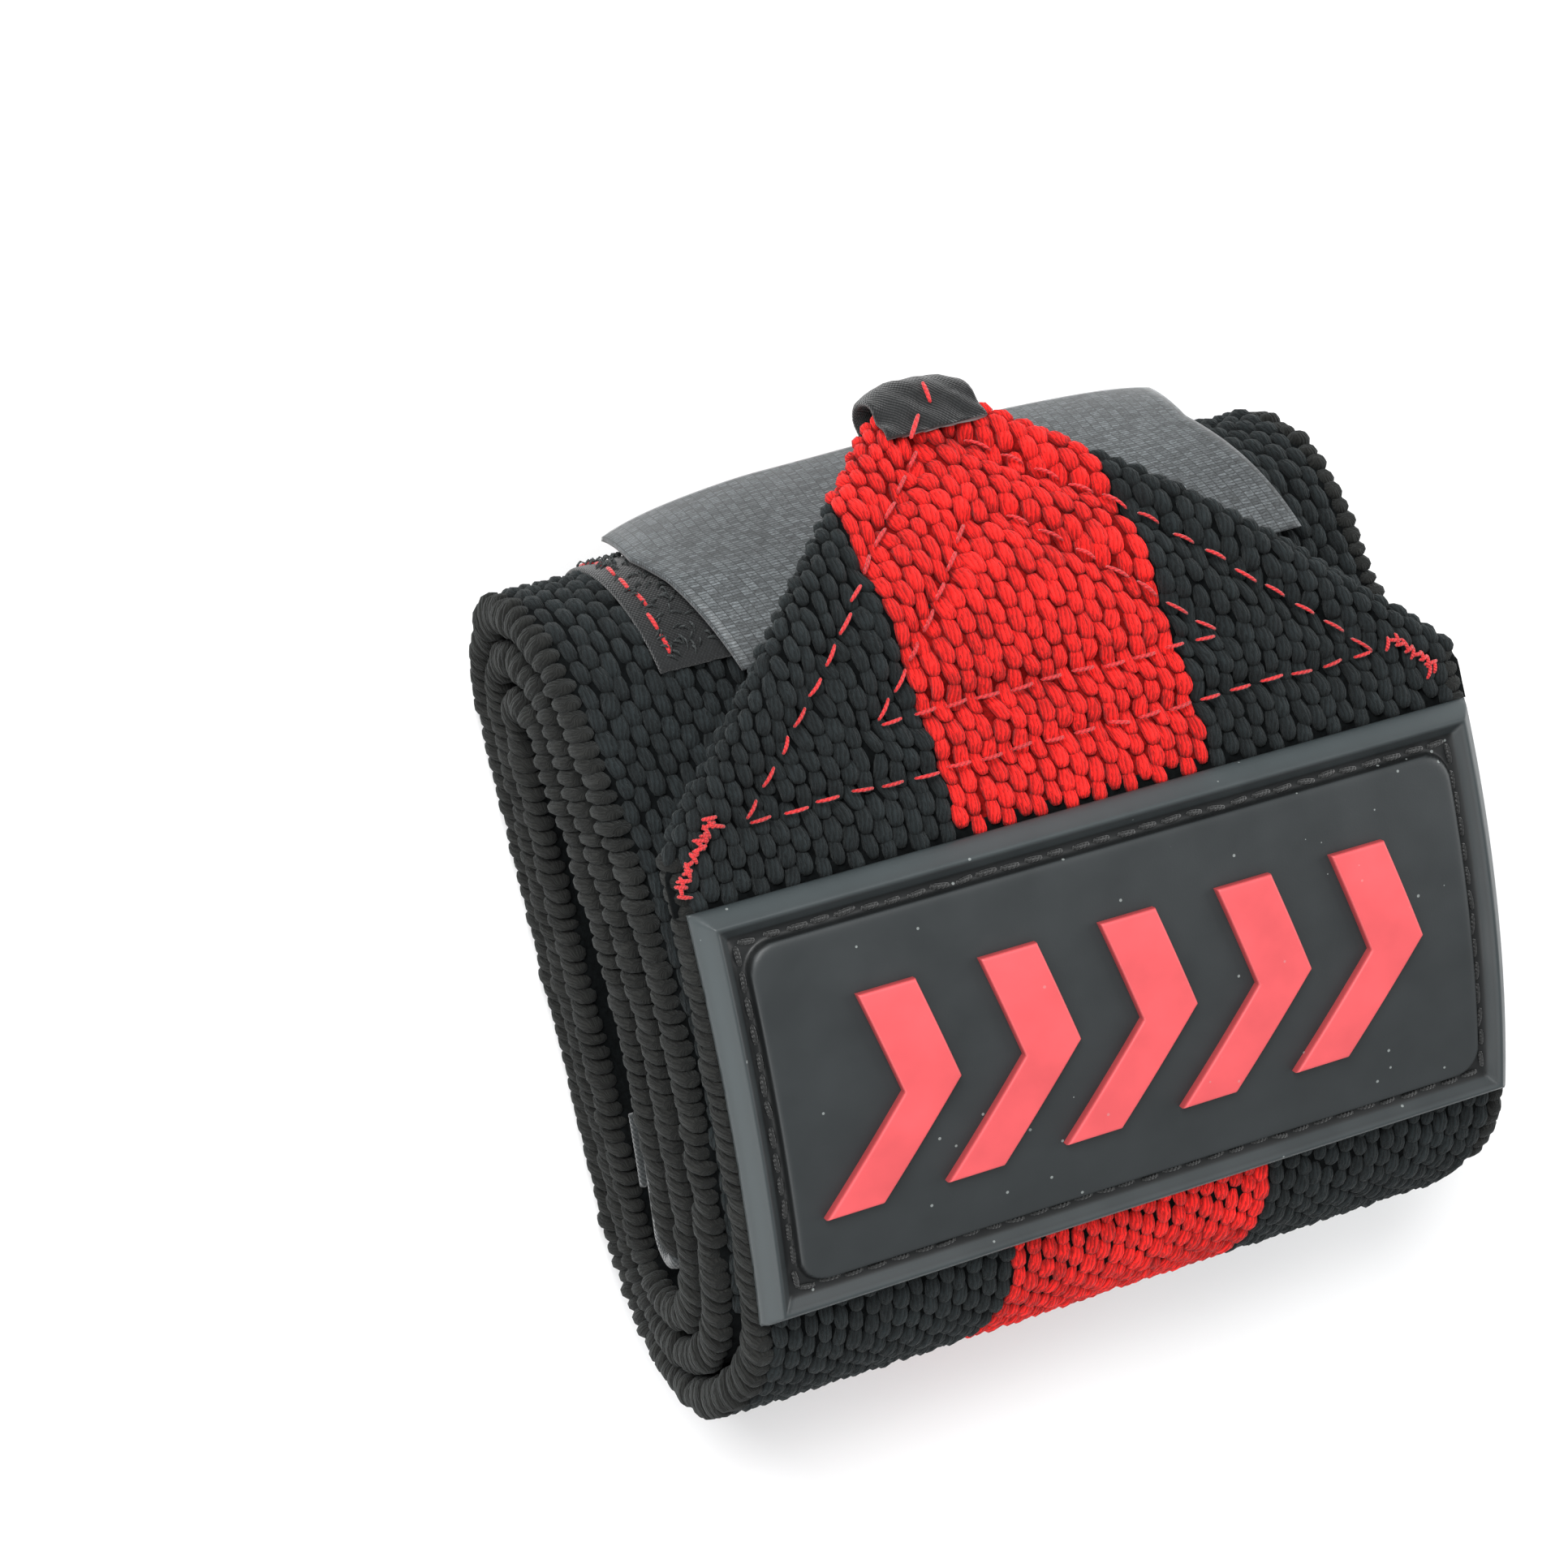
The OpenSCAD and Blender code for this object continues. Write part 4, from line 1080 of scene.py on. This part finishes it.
class MakeFastener(bpy.types.Operator):
    """Makes the hook tape with its hooks, and the loop patch with its pile"""
    bl_idname = "wrap.fastener"
    bl_label = "Hook tape and loop patch"

    def execute(self, context):
        n = lay()
        rng = np.random.default_rng(14)
        self.tape(n, rng)
        self.loop_patch(n, rng)
        return {"FINISHED"}

    def tape(self, n, rng):
        """The tape follows the fold at radius r from 73 to 38 degrees, and then runs straight."""
        a0, a1 = np.radians(73), np.radians(38)
        turn_end = n.high_c + n.tape_r * np.exp(1j * a1)
        ahead = np.exp(1j * (a1 - QUARTER))
        route = Route([arc(n.high_c, n.tape_r, a0, a1), straight(turn_end, turn_end + TAPE_FREE * ahead, a1)])
        half = n.mm["tape_width"] / 2
        length = route.s[-1]

        def place(x, s, v):
            free = np.clip((s - (length - 13)) / 13, 0, 1)
            edge = np.clip((-x - 0.45 * half) / (0.55 * half), 0, 1)
            wave = 0.35 * free * np.sin(x * 0.13 + 0.6)
            drop = 2.6 * free**2 + 2.6 * free * edge**1.5
            skew = 5.0 * np.clip(1 - s / (length - 8), 0, 1)
            back = 0.9 * free**3 + 1.1 * free * (x / half) ** 8
            return n.at_home(x + skew + TAPE_X, route.lift(s - back, v + wave - drop))

        s = np.linspace(0, length, 60)
        x = np.linspace(-half, half, 60)
        x, v = np.append(x, x[::-1])[None], np.repeat([0, 0.55], 60)[None]
        tape = tube("hook_tape", place(x, s[:, None], v), finish_of("tape"))
        say(tape, ["hook_tape_sewn_end", "hook_tape_free_end"])

        hooks = Pod(3, 5, p=0.5, taper=0)
        u, w, h = hooks.cells.T
        gx, gs = np.meshgrid(np.arange(-half + 1.5, half - 1.2, 1.25), np.arange(6.0, length - 1.2, 1.1))
        gx, gs = gx.ravel() + rng.normal(0, 0.06, gx.size), gs.ravel()
        bow = 0.3 * np.sin(u * 1.6)
        flip = np.where(np.arange(gx.size) % 2, 1, -1)[:, None]
        cx, cs = gx[:, None] + w * 0.11, gs[:, None] + h * 0.11 + bow * flip
        crowd = pods("hook_rows", hooks, place(cx, cs, -0.22 + 0.24 * u), finish_of("hooks"), rng)
        say(crowd, ["hook_field"])
        pairs = [((-half + 12, at), (half - 16, at)) for at in (2.0, 4.6)]
        seam = stitches("tape_seam", rows(pairs, 3.0, 0.7, rng), lambda x, s, v: place(x, s, 0.5 + v),
                        0.36, 0.06, rng)
        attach(say(seam, ["hook_tape_stitching"]), "point")
        start, end = (n.on_arc(n.high_c, n.tape_r, 0.0, np.radians(a)) for a in (60, 50))
        for piece in (tape, crowd):
            tuple(start)
            tuple(end)
            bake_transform(piece)

    def loop_patch(self, n, rng):
        """Patch round the high fold from 66 to -40 degrees, with pile loops all over it."""
        a0, a1 = np.radians(66), np.radians(-40)
        half = n.mm["tape_width"] / 2
        length = n.fold_r * (a0 - a1)

        def place(x, s, v):
            yz = n.high_c + (n.fold_r + v) * np.exp(1j * (a0 - s / n.fold_r))
            return n.at_home(x + n.creep_at(yz) + TAPE_X + 2, yz)

        s = np.linspace(0, length, 50)
        ground = ribbon("loop_pile_ground", place, s, (-half, half), (0.0, 0.55), 0.2, finish_of("black_weave"))
        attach(say(ground, ["loop_patch"]), "roll")
        pod = Pod(3, 5, p=0.5, taper=0)
        u, w, h = pod.cells.T
        count = 1500
        x = rng.uniform(-half + 0.8, half - 0.8, count)[:, None]
        s = rng.uniform(0.6, length - 0.6, count)[:, None]
        spin = rng.uniform(0, TURN, count)[:, None]
        reach = rng.uniform(0.35, 0.65, count)[:, None]
        side = u * reach
        cx, cs = x + side * np.cos(spin) + w * 0.09, s + side * np.sin(spin) + h * 0.09
        points = place(cx, cs, 0.5 + 0.45 * (1 - u * u) + h * 0.09)
        fuzz = pods("loop_pile", pod, points, finish_of("pile"), rng,
                    dye=np.zeros(count), depth=np.ones(count))
        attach(say(fuzz), "roll")
        pairs = [((x, 1), (x, length - 1)) for x in (-half + 1.4, half - 1.4)]
        pairs.append(((-half + 2, length - 1.2), (half - 2, length - 1.2)))
        seam = stitches("loop_patch_seam", rows(pairs, 2.4, 0.8, rng), lambda x, s, v: place(x, s, 0.6 + v),
                        0.4, 0.1, rng)
        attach(say(seam, ["loop_patch_stitching"]), "roll")


class MakeCore(bpy.types.Operator):
    """Makes the inner end in the pocket: the hem, its tape and the thumb loop"""
    bl_idname = "wrap.core"
    bl_label = "Inner end"

    def execute(self, context):
        n = lay()
        rng = np.random.default_rng(15)
        front_r = n.mm["front_radius"]
        shift = n.creep_at(n.front_c + front_r * np.exp(1j * n.core_a))
        hem_v = -(n.half_t + SEAT + HEM_T / 2)

        def under(x, s, v):
            """s runs from the band's end towards the high fold, v out of the core's middle."""
            return n.on_arc(n.front_c, front_r + v, x + shift, n.core_a - s / front_r)

        bend_v = (hem_v + n.half_t - HEM_T / 2) / 2
        bend_r = bend_v - hem_v
        turn = np.linspace(-QUARTER, QUARTER, 12)
        t = np.linspace(HEM_L, 0, 16)
        s = np.concatenate([t[:-1], -bend_r * np.cos(turn)])
        v = np.concatenate([np.full(15, hem_v), bend_v + bend_r * np.sin(turn)])
        ns, nv = normals(s, v)
        ring = section((-n.half_w + 0.7, n.half_w - 0.7), (-0.75, 0.75), 0.6)[None]
        rings = under(ring[..., 0], s[:, None] + ring[..., 1] * ns, v[:, None] + ring[..., 1] * nv)
        hem = tube("hem_ply", rings, finish_of("elastic"))
        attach(say(hem, ["core_hem"]), "roll")
        pairs = [((-35, at), (35, at)) for at in (9.8, 11.6)]
        seam = stitches("hem_seam", rows(pairs, 3.0, 0.7, rng),
                        lambda x, s, v: under(x, s, n.half_t + 0.05 + v), 0.34, 0.06, rng)
        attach(say(seam, ["hem_stitching"]), "roll")
        tape_v = hem_v - HEM_T / 2 - SEAT - HEM_TAPE_T / 2
        tape = ribbon("hem_edge_tape", under, np.linspace(4.6, 12.2, 14), (-n.half_w + 0.3, n.half_w - 0.3),
                      (tape_v - 0.38, tape_v + 0.38), 0.3, finish_of("elastic"))
        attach(say(tape, ["hem_tape"]), "roll")
        self.thumb_loop(rng, under, tape_v)
        return {"FINISHED"}

    def thumb_loop(self, rng, under, tape_v):
        """Flat elastic bent in half an ellipse, 12.5 mm by 6.6 mm."""
        t = np.linspace(0, np.pi, 40)
        cx, cs = 12.5 * np.cos(t), 8.2 + 6.6 * np.sin(t)
        nx, ns = (-part for part in normals(cx, cs))
        ring = section((-2.5, 2.5), (-0.3, 0.3), 0.2)[None]
        v = tape_v - HEM_TAPE_T
        rings = under(cx[:, None] + ring[..., 0] * nx, cs[:, None] + ring[..., 0] * ns * 0.9, v + ring[..., 1])
        loop = tube("thumb_elastic", rings, finish_of("elastic"))
        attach(say(loop, ["thumb_loop"]), "roll")
        at = np.concatenate([np.linspace(-14.2, -10.8, 5), np.linspace(10.8, 14.2, 5)])
        ends = np.stack([np.stack([at, np.full(10, 8.4)], -1), np.stack([at + 0.3, np.full(10, 10.2)], -1)])
        tacks = stitches("thumb_tacks", ends, lambda x, s, w: under(x, s, v - 0.34 - w), 0.3, 0.05, rng)
        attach(say(tacks, ["thumb_loop_tacks"]), "roll")


class WrapPanel(bpy.types.Panel):
    """Lists the wrap's pieces, sizes and colours"""
    bl_idname = "VIEW3D_PT_hand_wrap"
    bl_label = "Hand Wrap"
    bl_space_type = "VIEW_3D"
    bl_region_type = "UI"
    bl_category = "Hand Wrap"

    def draw(self, context):
        for operator in OPERATORS:
            self.layout.operator(operator.bl_idname)
        for group in (context.scene.wrap_sizes, context.scene.wrap_colours):
            box = self.layout.box()
            for name in group.__annotations__:
                box.prop(group, name)


OPERATORS = (MakeStage, MakeRoll, MakeFrontTurn, MakePatch, MakePoint, MakeFastener, MakeCore)
CLASSES = (WrapSizes, WrapColours, *OPERATORS, WrapPanel)


def register():
    for cls in CLASSES:
        bpy.utils.register_class(cls)
    bpy.types.Scene.wrap_sizes = bpy.props.PointerProperty(type=WrapSizes)
    bpy.types.Scene.wrap_colours = bpy.props.PointerProperty(type=WrapColours)


def unregister():
    del bpy.types.Scene.wrap_colours
    del bpy.types.Scene.wrap_sizes
    for cls in reversed(CLASSES):
        bpy.utils.unregister_class(cls)


def main():
    register()
    for operator in OPERATORS:
        group, name = operator.bl_idname.split(".")
        getattr(getattr(bpy.ops, group), name)()


if __name__ == "__main__":
    main()
